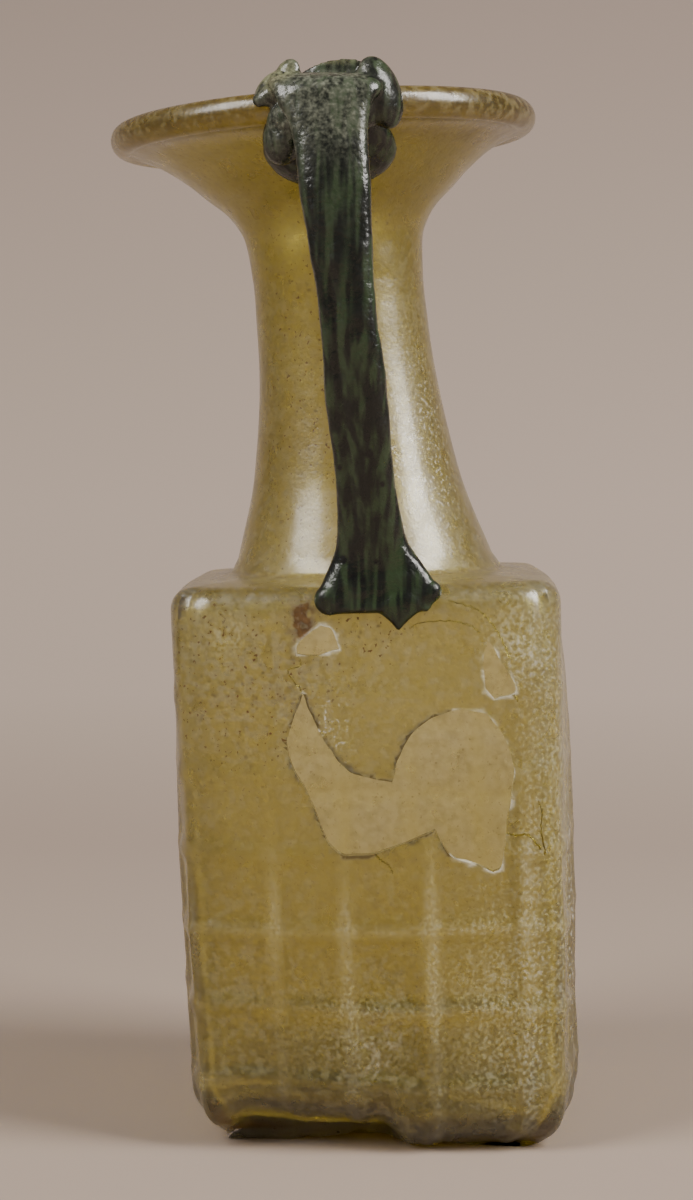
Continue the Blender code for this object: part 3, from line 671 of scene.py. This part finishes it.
def outside_loops(count, levels, grow=0.0, plain=False):
    """The vessel's outside, from its underside up and over its rolled lip."""
    neck_wave, lip_wave = (None, None) if plain else (NECK_WAVE, LIP_WAVE)
    loops = body_outside(count, levels, grow, plain)
    neck = moved_sideways(neck_outline(levels), grow)
    rings = [round_loop(radius, z, 4 * count, neck_wave) for radius, z in neck]
    across = list(zip(loops[-1], rings[0]))
    for i in range(1, SHOULDER_RINGS):
        loops.append([edge.lerp(foot, i / SHOULDER_RINGS) for edge, foot in across])
    roll = roll_outline(ROLL_STEPS, grow)
    return loops + rings + [round_loop(radius, z, 4 * count, lip_wave) for radius, z in roll]


def linked(name, data):
    """A new object, in the scene."""
    obj = bpy.data.objects.new(name, data)
    bpy.context.scene.collection.objects.link(obj)
    return obj


def object_from(mesh, name):
    """A new object from a bmesh, with its faces turned outwards."""
    bmesh.ops.recalc_face_normals(mesh, faces=mesh.faces)
    data = bpy.data.meshes.new(name)
    mesh.to_mesh(data)
    mesh.free()
    return linked(name, data)


def join_rings(mesh, rings):
    """Faces between rings of vertices, and a cap at each end."""
    for lower, upper in zip(rings, rings[1:]):
        for i in range(len(lower)):
            j = (i + 1) % len(lower)
            mesh.faces.new((lower[i], lower[j], upper[j], upper[i]))
    mesh.faces.new(list(reversed(rings[0])))
    mesh.faces.new(rings[-1])


def skin(name, loops, underside, end):
    """One closed mesh from loops of points, its two ends closed to a middle point each."""
    count = len(loops[0])
    points = [tuple(point) for loop in loops for point in loop]
    faces = []
    for row in range(len(loops) - 1):
        for i in range(count):
            j = (i + 1) % count
            low, high = row * count, (row + 1) * count
            faces.append((low + i, low + j, high + j, high + i))
    first, last = len(points), len(points) + 1
    points += [underside, end]
    top = (len(loops) - 1) * count
    for i in range(count):
        j = (i + 1) % count
        faces.append((first, j, i))
        faces.append((last, top + i, top + j))
    data = bpy.data.meshes.new(name)
    data.from_pydata(points, [], faces)
    data.validate()
    data.shade_smooth()
    return linked(name, data)


def vessel_skin():
    loops = outside_loops(SIDE_STEPS, OUTSIDE_LEVELS)
    inside = list(reversed(moved_sideways(neck_outline(INSIDE_LEVELS), -WALL)[1:]))
    loops += [round_loop(radius, z, ROUND_STEPS, NECK_INSIDE_WAVE) for radius, z in inside]
    loops += body_inside(SIDE_STEPS, INSIDE_LEVELS)
    floor = (0, 0, BASE_KICK + BASE_THICKNESS)
    return skin("jug_body", loops, (0, 0, BASE_KICK), floor)


def broken_outline(stretches):
    """The ragged outline of a loss, as (x, z) points on the front wall."""
    outline = []
    for stretch in stretches:
        across, down = column(stretch, 0), column(stretch, 1)
        for step in range((len(stretch) - 1) * OUTLINE_STEPS):
            t = step / OUTLINE_STEPS
            z = BODY_HEIGHT - along(down, t)
            outline.append((along(across, t) + centre_x(z), z))
    return [(x + ripple(BREAK_ACROSS, x, 0, z), z + ripple(BREAK_UP, x, 0, z)) for x, z in outline]


def loss_cutter():
    """One block through the front wall for each loss."""
    mesh = bmesh.new()
    outside = -SHOULDER_WIDTH / 2 - SIDE_BULGE - CUT_OUTSIDE
    inside = -BASE_WIDTH / 2 + WALL + CUT_INSIDE
    for stretches in LOSSES:
        outline = broken_outline(stretches)
        front = [mesh.verts.new((x, outside, z)) for x, z in outline]
        back = [mesh.verts.new((x, inside, z)) for x, z in outline]
        mesh.faces.new(front)
        mesh.faces.new(list(reversed(back)))
        for i in range(len(outline)):
            j = (i + 1) % len(outline)
            mesh.faces.new((front[j], front[i], back[i], back[j]))
    return object_from(mesh, "loss_cutter")


def crack_cutter():
    """Thin wedges that follow the front wall, one along each crack."""
    mesh = bmesh.new()
    for line in CRACKS:
        count = CRACK_STEPS * (len(line) - 1) + 1
        across, down = column(line, 0), column(line, 1)
        stations = []
        for step in range(count):
            t = step / CRACK_STEPS
            jitter = CRACK_JITTER * math.sin(JITTER_PACE * step + JITTER_SHIFT * line[0][0])
            stations.append((along(across, t) + jitter, BODY_HEIGHT - along(down, t) + jitter))
        rings = []
        for i, (x, z) in enumerate(stations):
            before, after = neighbours(stations, i)
            run, rise = after[0] - before[0], after[1] - before[1]
            size = math.hypot(run, rise)
            aside = Vector((-rise / size, 0, run / size)) * CRACK_WIDTH
            tip = CRACK_TIP * aside
            place = x * CORNER_REACH / half_width(z)
            outer = wall_point(0, place, z, 0.0, CRACK_OUTSIDE)
            inner = wall_point(0, place, z, 0.0, -CRACK_DEPTH)
            corners = (outer - aside, outer + aside, inner + tip, inner - tip)
            rings.append([mesh.verts.new(corner) for corner in corners])
        join_rings(mesh, rings)
    return object_from(mesh, "crack_cutter")


def apply_modifiers(obj):
    bpy.context.view_layer.update()
    graph = bpy.context.evaluated_depsgraph_get()
    data = bpy.data.meshes.new_from_object(obj.evaluated_get(graph), depsgraph=graph)
    obj.modifiers.clear()
    obj.data = data


def cut(obj, cutter):
    modifier = obj.modifiers.new("cut", "BOOLEAN")
    modifier.operation = "DIFFERENCE"
    modifier.object = cutter
    modifier.solver = "EXACT"
    apply_modifiers(obj)
    bpy.data.objects.remove(cutter)


def strap_path():
    """(share of the neck's height, distance before the axis) of the strap's middle."""
    foot = SHOULDER_WIDTH / 2 - 0.10 * STRAP_THICKNESS
    top = RIM_FRONT + STRAP_STANDOFF + STRAP_THICKNESS / 2
    return (
        (-0.058, foot + 0.25 * STRAP_THICKNESS),
        (-0.022, foot + 0.05 * STRAP_THICKNESS),
        (0.060, foot - 0.10 * STRAP_THICKNESS),
        (0.200, foot + 0.28 * (top - foot)),
        (0.500, foot + 0.72 * (top - foot) + STRAP_BOW),
        (0.800, top + 0.5 * STRAP_BOW),
        (0.950, top),
        (1.010, top - 0.08 * STRAP_THICKNESS),
    )


def strap_section(width, thickness, channel):
    """A rounded oblong with a shallow channel in its front."""
    points = []
    for i in range(SECTION_STEPS):
        angle = 2 * math.pi * (i + 0.5) / SECTION_STEPS
        cosine, sine = math.cos(angle), math.sin(angle)
        x = 0.5 * width * math.copysign(abs(cosine) ** STRAP_SQUARENESS, cosine)
        y = 0.5 * thickness * math.copysign(abs(sine) ** STRAP_SQUARENESS, sine)
        if y < 0:
            y += channel * hump((x / width - CHANNEL_PLACE) / CHANNEL_WIDTH)
        points.append((x, y))
    return points


def add_strap(mesh):
    """The strap from the foot up to the rim, and its turn over the rim."""
    start, end = STRAP_SECTIONS[0][0], STRAP_SECTIONS[-1][0]
    widths = [(share, width) for share, width, _ in STRAP_SECTIONS]
    depths = [(share, depth) for share, _, depth in STRAP_SECTIONS]
    path = strap_path()
    length = RIM_HEIGHT - BODY_HEIGHT
    middles, sections = [], []
    for i in range(STRAP_STEPS):
        share = start + (end - start) * i / (STRAP_STEPS - 1)
        z = BODY_HEIGHT + share * length
        middles.append(Vector((centre_x(z) + HANDLE_OFFSET, -along(path, share), z)))
        width = STRAP_WIDTH * along(widths, share)
        thinner = 1 - STRAP_THINNING * smooth_step(0.20, 0.45, share)
        depth = STRAP_THICKNESS * along(depths, share) * thinner
        fade = smooth_step(0.05, 0.25, share) * (1 - smooth_step(0.55, 0.80, share))
        sections.append(strap_section(width, depth, STRAP_CHANNEL * fade))
    bend = middles[-1]
    for i in range(1, TURN_STEPS + 1):
        place = (len(STRAP_TURN) - 1) * i / TURN_STEPS
        back, up, width, depth = (along(column(STRAP_TURN, k), place) for k in range(4))
        middles.append(bend + Vector((0, back * STRAP_THICKNESS, up * STRAP_RISE)))
        sections.append(strap_section(width * STRAP_WIDTH, depth * STRAP_THICKNESS, 0.0))
    rings = []
    for i, (middle, section) in enumerate(zip(middles, sections)):
        before, after = neighbours(middles, i)
        direction = (after - before).normalized()
        across = (Vector((1, 0, 0)) - direction * direction.x).normalized()
        outwards = direction.cross(across)
        rings.append([mesh.verts.new(middle + across * x + outwards * y) for x, y in section])
    join_rings(mesh, rings)


def add_lump(mesh, start, at, half, pitch=0.0, roll=0.0, point=0.0, curl=0.0):
    """A stretched ball. Curl is the radius of the rim that it bends round."""
    made = bmesh.ops.create_uvsphere(
        mesh, u_segments=LUMP_SEGMENTS, v_segments=LUMP_RINGS, radius=1.0
    )
    turn = Matrix.Rotation(math.radians(roll), 3, "Y")
    turn @= Matrix.Rotation(math.radians(pitch), 3, "X")
    for vertex in made["verts"]:
        x, y, z = vertex.co
        lowness = smooth_step(0.0, -1.0, z)
        x *= 1 - point * lowness
        z *= 1 + POINT_STRETCH * point * lowness
        placed = turn @ Vector((x * half[0], y * half[1], z * half[2])) + Vector(at)
        if curl:
            placed.y += placed.x**2 / (2 * curl)
        vertex.co = placed + Vector(start)


def rim_front():
    return (centre_x(RIM_HEIGHT) + HANDLE_OFFSET, -RIM_FRONT, RIM_HEIGHT)


def handle_skin():
    """The handle as one skin, cut to clear the vessel."""
    mesh = bmesh.new()
    add_strap(mesh)
    foot = (centre_x(BODY_HEIGHT) + HANDLE_OFFSET, -SHOULDER_WIDTH / 2, BODY_HEIGHT)
    for shape in RIM_LUMPS:
        add_lump(mesh, rim_front(), curl=RIM_RADIUS, **shape)
    for shape in FOOT_LUMPS:
        add_lump(mesh, foot, **shape)
    obj = object_from(mesh, "jug_handle")
    remesh = obj.modifiers.new("remesh", "REMESH")
    remesh.mode = "VOXEL"
    remesh.voxel_size = HANDLE_VOXEL
    smooth = obj.modifiers.new("smooth", "SMOOTH")
    smooth.factor = SMOOTH_FACTOR
    smooth.iterations = SMOOTH_ROUNDS
    apply_modifiers(obj)
    normals = [vertex.normal.copy() for vertex in obj.data.vertices]
    for vertex, normal in zip(obj.data.vertices, normals):
        x, y, z = vertex.co
        wave = ripple(HANDLE_WAVE, x, y, z) + ripple(HANDLE_GRAIN, x, y, z)
        vertex.co += normal * (wave - HANDLE_INSET)
    mouth = (centre_x(RIM_HEIGHT), 0, RIM_HEIGHT - ROLL_HEIGHT)
    loops = outside_loops(CLEARANCE_SIDE_STEPS, CLEARANCE_LEVELS, CONTACT_GAP, plain=True)
    cut(obj, skin("clearance", loops, (0, 0, BASE_KICK - CONTACT_GAP), mouth))
    obj.data.shade_smooth()
    return obj


def largest_part(obj):
    """Keeps the largest connected piece of a mesh."""
    mesh = bmesh.new()
    mesh.from_mesh(obj.data)
    left = set(mesh.verts)
    groups = []
    while left:
        stack, group = [left.pop()], []
        while stack:
            vertex = stack.pop()
            group.append(vertex)
            for edge in vertex.link_edges:
                other = edge.other_vert(vertex)
                if other in left:
                    left.remove(other)
                    stack.append(other)
        groups.append(group)
    groups.sort(key=len)
    for group in groups[:-1]:
        bmesh.ops.delete(mesh, geom=group, context="VERTS")
    mesh.to_mesh(obj.data)
    mesh.free()


def node(tree, kind, **inputs):
    made = tree.nodes.new(kind)
    for name, value in inputs.items():
        made.inputs[name].default_value = value
    return made


def math_node(tree, operation, first, second):
    """A sum on two values, each given as a number or as a socket."""
    made = tree.nodes.new("ShaderNodeMath")
    made.operation = operation
    for slot, value in enumerate((first, second)):
        if isinstance(value, (int, float)):
            made.inputs[slot].default_value = value
        else:
            tree.links.new(value, made.inputs[slot])
    return made.outputs[0]


def product(tree, first, second):
    return math_node(tree, "MULTIPLY", first, second)


def larger(tree, first, second):
    return math_node(tree, "MAXIMUM", first, second)


def noise_value(tree, where, scale, detail=1.0):
    """Noise with features of about 1 / scale metres."""
    texture = node(tree, "ShaderNodeTexNoise", Scale=scale, Detail=detail)
    tree.links.new(where, texture.inputs["Vector"])
    return texture.outputs["Fac"]


def mask(tree, value, low, high):
    """0 where the value is at low or on its far side, 1 where it is at high or past it."""
    made = tree.nodes.new("ShaderNodeMapRange")
    made.inputs["From Min"].default_value = low
    made.inputs["From Max"].default_value = high
    tree.links.new(value, made.inputs["Value"])
    return made.outputs["Result"]


def ranged(tree, value, low, high):
    """Turns 0 to 1 into low to high."""
    return math_node(tree, "ADD", product(tree, value, high - low), low)


def mixed(tree, factor, first, second):
    """A colour between two colours, each given as numbers or as a socket."""
    mix = tree.nodes.new("ShaderNodeMix")
    mix.data_type = "RGBA"
    tree.links.new(factor, mix.inputs["Factor"])
    for slot, colour in ((6, first), (7, second)):
        if isinstance(colour, tuple):
            mix.inputs[slot].default_value = (*colour, 1.0)
        else:
            tree.links.new(colour, mix.inputs[slot])
    return mix.outputs[2]


def tinted(tree, layer, colour, film):
    """Lays a layer of this colour, a film and painted light alike, over another colour; even a thin
    layer has its full colour.
    """
    factor = math_node(tree, "MINIMUM", product(tree, layer, TINT_GAIN), 1.0)
    return mixed(tree, factor, colour, film)


def attribute(tree, name):
    made = tree.nodes.new("ShaderNodeAttribute")
    made.attribute_name = name
    return made.outputs["Fac"]


def own_place(tree):
    return tree.nodes.new("ShaderNodeTexCoord").outputs["Object"]


def new_material(name):
    material = bpy.data.materials.new(name)
    material.use_nodes = True
    tree = material.node_tree
    return material, tree, tree.nodes["Principled BSDF"]


def weathered_glass(name, absorbed, density, coat):
    """Glass whose colour is in its volume; the film on it is set by the caller's masks."""
    material, tree, shader = new_material(name)
    shader.inputs["IOR"].default_value = GLASS_IOR
    shader.inputs["Coat Weight"].default_value = coat
    shader.inputs["Coat Roughness"].default_value = COAT_ROUGHNESS
    absorb = node(tree, "ShaderNodeVolumeAbsorption", Color=(*absorbed, 1.0), Density=density)
    output = tree.nodes["Material Output"]
    tree.links.new(absorb.outputs["Volume"], output.inputs["Volume"])
    return material, tree, shader


def dress(tree, shader, colour, film, roughness, heights, strength):
    """Film hides the glass in part, and the surface has small unevenness."""
    tree.links.new(colour, shader.inputs["Base Color"])
    clear = math_node(tree, "SUBTRACT", 1.0, film)
    tree.links.new(clear, shader.inputs["Transmission Weight"])
    tree.links.new(roughness, shader.inputs["Roughness"])
    bump = node(tree, "ShaderNodeBump", Strength=strength, Distance=BUMP_DISTANCE)
    tree.links.new(heights, bump.inputs["Height"])
    tree.links.new(bump.outputs["Normal"], shader.inputs["Normal"])


def surface_heights(tree, fine, fine_share, coarse, coarse_share):
    """Two noises added up, as the heights of a bump."""
    small = product(tree, mask(tree, fine, 0.2, 0.8), fine_share)
    large = product(tree, mask(tree, coarse, 0.2, 0.8), coarse_share)
    return math_node(tree, "ADD", small, large)


def olive_glass():
    """The vessel's glass: amber_and_relief_shade in places, under grime, pale film with painted
    highlights, specks, a stain and flakes_and_glints, and painted shade and highlights along the
    breaks.
    """
    material, tree, shader = weathered_glass("olive_glass", OLIVE_VOLUME, OLIVE_DENSITY, OLIVE_COAT)
    where = own_place(tree)
    coarse = noise_value(tree, where, 250.0)
    middling = noise_value(tree, where, 620.0)
    fine = noise_value(tree, where, 1350.0, 2.0)
    noises = {"middling": middling, "fine": fine}
    colour = mixed(tree, mask(tree, coarse, 0.35, 0.70), *OLIVE_BASE)
    # The glass's deeper tint, which on the front is also painted shade in the grid's cells and
    # along its rib flanks
    colour = mixed(tree, attribute(tree, "amber_and_relief_shade"), colour, AMBER_AND_SHADE_COLOUR)
    colour = mixed(tree, attribute(tree, "rim"), colour, RIM_COLOUR)
    grain = ranged(tree, mask(tree, fine, 0.35, 0.75), 0.3, 1.7)
    film = product(tree, attribute(tree, "film"), grain)
    for name, kind, low, high, strength, film_and_painted_light_colour in OLIVE_FILMS_AND_HIGHLIGHTS:
        layer = product(tree, mask(tree, noises[kind], low, high), attribute(tree, name))
        if strength < 1:
            layer = product(tree, layer, strength)
        colour = tinted(tree, layer, colour, film_and_painted_light_colour)
        film = larger(tree, film, layer)
    # Painted shade and highlights along the edges of the breaks
    ragged = mask(tree, coarse, 0.40, 0.62)
    for name, low, high, film_and_painted_light_colour in EDGE_SHADE_AND_HIGHLIGHT:
        layer = product(tree, attribute(tree, name), ranged(tree, ragged, low, high))
        colour = tinted(tree, layer, colour, film_and_painted_light_colour)
        film = larger(tree, film, layer)
    rough = ranged(tree, mask(tree, coarse, 0.25, 0.80), 0.24, 0.40)
    heights = surface_heights(tree, fine, 0.25, coarse, 0.6)
    dress(tree, shader, colour, film, rough, heights, 0.35)
    return material


def dark_glass():
    """The handle's glass: dark green streaks, grey film, a pale fold, rust and bubbles."""
    material, tree, shader = weathered_glass(
        "dark_green_glass", DARK_VOLUME, DARK_DENSITY, DARK_COAT
    )
    where = own_place(tree)
    stretch = node(tree, "ShaderNodeMapping", Scale=(1.0, 1.0, 0.12))
    tree.links.new(where, stretch.inputs["Vector"])
    streaks = mask(tree, noise_value(tree, stretch.outputs["Vector"], 700.0), 0.42, 0.62)
    coarse = noise_value(tree, where, 320.0)
    fine = noise_value(tree, where, 1250.0)
    grey = product(tree, mask(tree, fine, 0.15, 0.80), attribute(tree, "film"))
    colour = mixed(tree, streaks, *DARK_BASE)
    colour = mixed(tree, grey, colour, GREY_COLOUR)
    for name, layer_colour in DARK_LAYERS:
        colour = mixed(tree, attribute(tree, name), colour, layer_colour)
    film = larger(tree, ranged(tree, streaks, 0.15, 0.55), product(tree, grey, 0.85))
    clearer = product(tree, attribute(tree, "pale"), 0.15)
    film = math_node(tree, "SUBTRACT", film, clearer)
    rough = ranged(tree, mask(tree, coarse, 0.25, 0.85), 0.20, 0.40)
    heights = surface_heights(tree, fine, 0.4, coarse, 1.0)
    dress(tree, shader, colour, film, rough, heights, 0.45)
    return material


def ramp(values, start, end):
    """0 at the start and before it, 1 at the end and past it."""
    return np.clip((values - start) / (end - start), 0, 1)


def falling(values, middle, width):
    """1 well below the middle, 0 well above it."""
    return 1 / (1 + np.exp((values - middle) / width))


def spread(points, fields):
    """A 0 to 1 value that falls off round the middle of each field."""
    total = np.zeros(len(points))
    for x, y, z, wide, deep, high, strength in fields:
        away = (points - (x, y, z)) / (wide, deep, high)
        total = np.maximum(total, strength * np.exp(-np.sum(away**2, axis=1)))
    return total


def give_attribute(obj, name, values):
    layer = obj.data.attributes.new(name, "FLOAT", "POINT")
    layer.data.foreach_set("value", np.asarray(values, np.float32))


def points_of(obj):
    points = np.empty(len(obj.data.vertices) * 3, np.float32)
    obj.data.vertices.foreach_get("co", points)
    return points.reshape(-1, 3).astype(float)


def surface_facts(point):
    """(share of full relief, 1 on the outside or 0 inside) at a point of the vessel."""
    x, y, z = point
    x -= centre_x(z)
    if z > BODY_HEIGHT + SHOULDER_RISE:
        share = neck_share(z - x * math.sin(tilt(z)))
        return 0.0, 1.0 if math.hypot(x, y) > neck_radius(share) - 0.5 * WALL else 0.0
    if z > BODY_HEIGHT - 0.5 * WALL or z < 0.5 * BASE_THICKNESS:
        return 0.0, 1.0
    if max(abs(x), abs(y)) < half_width(z) - 0.5 * WALL:
        past_x = max(abs(x) - INNER_CORNER_PLACE, 0)
        past_y = max(abs(y) - INNER_CORNER_PLACE, 0)
        if math.hypot(past_x, past_y) < INNER_CORNER_REACH:
            return 0.0, 0.0
    if abs(y) >= abs(x):
        side, place = (0, x) if y < 0 else (2, -x)
    else:
        side, place = (1, y) if x > 0 else (3, -y)
    place *= CORNER_REACH / half_width(z)
    return relief(side, place, z) / RIB_HEIGHT, 1.0


def near_break(points):
    """1 on the edge of a loss in the front wall, falling to 0 over the reach."""
    share = np.zeros(len(points))
    low, high = BREAK_ZONE
    in_zone = (points[:, 2] > low) & (points[:, 2] < high)
    near = np.flatnonzero((points[:, 1] < FRONT_Y) & in_zone)
    flat = points[near][:, (0, 2)]
    closest = np.full(len(near), 1.0)
    for stretches in LOSSES:
        for x, z in broken_outline(stretches):
            closest = np.minimum(closest, np.hypot(flat[:, 0] - x, flat[:, 1] - z))
    share[near] = np.clip(1 - closest / BREAK_REACH, 0, 1)
    return share


def amber_and_shade_share(points, raised, low, crest):
    """How far the glass takes its amber_and_relief_shade colour: the neck, the rim and the low part
    of the front most of all; on the front it is also painted shade in the grid's cells and along
    the flanks of its ribs, less on the crests.
    """
    x, y, z = points.T
    height = neck_share(z)
    right = ramp(x, -0.008, 0.004)
    amber_and_relief_shade = 0.62 * ramp(height, 0.0, 0.25) + 0.15 * ramp(height, 0.45, 0.75)
    amber_and_relief_shade *= 1 - 0.4 * right * ramp(height, 0.8, 0.6)
    amber_and_relief_shade += 0.2 * ramp(height, 0.6, 0.9) + 0.35 * ramp(height, 0.93, 0.97)
    facing = ramp(y, FRONT_Y, FRONT_FULL_Y) * (z < FRONT_TOP_Z)
    # Painted shade of the grid on the front: darker in the cells and along the flanks of the ribs,
    # lighter on their crests
    flank = np.exp(-(((raised - FLANK_AT) / FLANK_WIDTH) ** 2))
    amber_and_relief_shade += facing * (0.26 + 0.15 * low + 0.25 * low * (1 - raised) - 0.20 * low * crest)
    amber_and_relief_shade += facing * low * 0.22 * flank
    amber_and_relief_shade += facing * (1 - raised) * spread(points, AMBER_FIELDS)
    return np.clip(amber_and_relief_shade, 0, 1)


def weather_vessel(obj):
    """Where amber_and_relief_shade, film, grime, specks, stain and flakes_and_glints lie, in the
    jug's own frame, with the painted shade and highlights of the grid, the front's upper corners
    and the breaks.
    """
    points = points_of(obj)
    facts = np.array([surface_facts(point) for point in points.tolist()])
    raised, outside = np.clip(facts[:, 0], 0, 1), facts[:, 1]
    front = outside * falling(points[:, 1], FRONT_Y, FRONT_EDGE)
    height = neck_share(points[:, 2])
    low = ramp(points[:, 2], LOW_FROM_Z, LOW_FULL_Z)
    crest = ramp(raised, 0.50, 0.90)
    edge = near_break(points)
    # Painted shade on the breaks' edges lower left, painted highlight on the rest
    right_of, above = BREAK_SHADE
    shaded = (points[:, 0] < right_of) * (points[:, 2] < above)
    grime = 0.25 + 0.6 * ramp(height, 0.95, 0.98) + spread(points, GRIME_FIELDS)
    for name, values in (
        # The crest terms of film and pale paint highlights along the ribs of the grid
        ("film", 0.005 + 0.03 * outside + 0.10 * low * crest * front),
        ("amber_and_relief_shade", amber_and_shade_share(points, raised, low, crest)),
        ("rim", 0.75 * ramp(height, 0.94, 0.97)),
        ("painted_edge_shade", edge * shaded),
        ("painted_edge_highlight", edge * (1 - shaded)),
        ("pale", 0.08 + 0.35 * low * crest * front + spread(points, PALE_AND_HIGHLIGHT_FIELDS)),
        ("grime", grime * outside * (1 - 0.8 * raised)),
        ("specks", 0.15 + spread(points, SPECK_FIELDS)),
        ("stain", spread(points, STAIN_FIELDS)),
        # Real flaking, and painted glints at the front's upper right corner
        ("flakes_and_glints", (0.04 + spread(points, FLAKE_AND_GLINT_FIELDS)) * outside),
    ):
        give_attribute(obj, name, values)


def weather_handle(obj):
    """Grey film on the fold over the rim, a pale left fold, one reddish streak and bubbles."""
    offset = points_of(obj) - np.array(rim_front())
    x, y, z = offset.T
    film = 0.65 * ramp(z, -0.014, -0.004) + 0.30 * ramp(z, -0.045, -0.010)
    film *= falling(y, 0.003, 0.001)
    film = np.maximum(film, 0.10)
    film *= 1 - 0.7 * ramp(x, 0.0065, 0.0080)
    fields = [(x, 0.0, -down, size, 0.1, size, BUBBLE_STRENGTH) for x, down, size in BUBBLES]
    for name, values in (
        ("film", film),
        ("pale", np.clip(1.6 * spread(offset, HANDLE_PALE_FIELDS) - 0.3, 0, 1)),
        ("rust", spread(offset, HANDLE_RUST_FIELDS)),
        ("bubbles", np.clip(2 * spread(offset, fields) - 1, 0, 1)),
    ):
        give_attribute(obj, name, values)


def paper():
    """Warm grey paper with painted shade: a little darker on the floor and towards the top of the
    backdrop.
    """
    material, tree, shader = new_material("backdrop_paper")
    shader.inputs["Roughness"].default_value = PAPER_ROUGHNESS
    shader.inputs["Specular IOR Level"].default_value = PAPER_SPECULAR
    parts = tree.nodes.new("ShaderNodeSeparateXYZ")
    tree.links.new(own_place(tree), parts.inputs["Vector"])
    height = parts.outputs["Z"]
    colour = mixed(tree, mask(tree, height, *FLOOR_SHADE_FADE), SHADED_FLOOR_COLOUR, WALL_COLOUR)
    colour = mixed(tree, mask(tree, height, *TOP_SHADE_FADE), colour, SHADED_TOP_COLOUR)
    tree.links.new(colour, shader.inputs["Base Color"])
    return material


def backdrop():
    """A pale floor that curves up into a wall behind the jug."""
    profile = [(FLOOR_FRONT, 0.0), (SWEEP_START, 0.0)]
    for i in range(1, SWEEP_STEPS + 1):
        angle = 0.5 * math.pi * i / SWEEP_STEPS
        back = SWEEP_START + SWEEP_RADIUS * math.sin(angle)
        profile.append((back, SWEEP_RADIUS * (1 - math.cos(angle))))
    profile.append((SWEEP_START + SWEEP_RADIUS, BACKDROP_TOP))
    points, faces = [], []
    for y, z in profile:
        points += [(-BACKDROP_HALF, y, z), (BACKDROP_HALF, y, z)]
    for i in range(len(profile) - 1):
        faces.append((2 * i, 2 * i + 1, 2 * i + 3, 2 * i + 2))
    data = bpy.data.meshes.new("backdrop")
    data.from_pydata(points, [], faces)
    data.shade_smooth()
    data.materials.append(paper())
    obj = linked("backdrop", data)


def softbox(name, place, size, power):
    data = bpy.data.lights.new(name, "AREA")
    data.shape = "RECTANGLE"
    data.size, data.size_y = size
    data.energy = power
    data.color = LIGHT_COLOUR
    obj = linked(name, data)
    direction = Vector(LIGHT_TARGET) - Vector(place)
    obj.location = place
    obj.rotation_euler = direction.to_track_quat("-Z", "Y").to_euler()


def sky():
    world = bpy.data.worlds.new("studio")
    bpy.context.scene.world = world
    world.use_nodes = True
    background = world.node_tree.nodes["Background"]
    background.inputs["Color"].default_value = SKY_COLOUR
    background.inputs["Strength"].default_value = SKY_STRENGTH


def camera(shift):
    """The photograph's viewpoint: the base's axis stands in its column of the picture."""
    photo_width, photo_height = PHOTO_PIXELS
    yaw = math.atan((BASE_COLUMN - photo_width / 2) / FOCAL_PIXELS)
    data = bpy.data.cameras.new("camera")
    data.sensor_fit = "VERTICAL"
    data.sensor_height = SENSOR_HEIGHT
    data.lens = SENSOR_HEIGHT * FOCAL_PIXELS / photo_height
    obj = linked("camera", data)
    x, y = CAMERA_DISTANCE * math.sin(CAMERA_TURN), -CAMERA_DISTANCE * math.cos(CAMERA_TURN)
    obj.location = shift + Vector((x, y, CAMERA_HEIGHT))
    obj.rotation_euler = (math.radians(90) - CAMERA_PITCH, 0.0, CAMERA_TURN + yaw)
    bpy.context.scene.camera = obj


def shift_to_frame(body):
    """From the jug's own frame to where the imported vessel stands."""
    low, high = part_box("vessel")
    points = points_of(body)
    x = 0.5 * (low.x + high.x) - 0.5 * (points[:, 0].min() + points[:, 0].max())
    y = 0.5 * (low.y + high.y) - 0.5 * (points[:, 1].min() + points[:, 1].max())
    return Vector((x, y, 0.0))


def main():
    body = vessel_skin()
    cut(body, crack_cutter())
    cut(body, loss_cutter())
    body.data.validate()
    body.data.shade_smooth()
    body.data.set_sharp_from_angle(angle=SHARP_ANGLE)
    weather_vessel(body)
    body.data.materials.append(olive_glass())
    handle = handle_skin()
    largest_part(handle)
    weather_handle(handle)
    handle.data.materials.append(dark_glass())
    shift = shift_to_frame(body)
    for obj, name, slot in (
        (body, "vessel", "olive_glass"),
        (handle, "handle", "dark_green_glass"),
    ):
        obj.data.transform(Matrix.Translation(shift))
        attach(obj, "root")
        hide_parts(name)
        triangles = sum(len(face.vertices) - 2 for face in obj.data.polygons)
        print(obj.name, triangles, "triangles")
    backdrop()
    for name, place, size, power in LIGHTS:
        softbox(name, place, size, power)
    sky()
    camera(shift)


main()
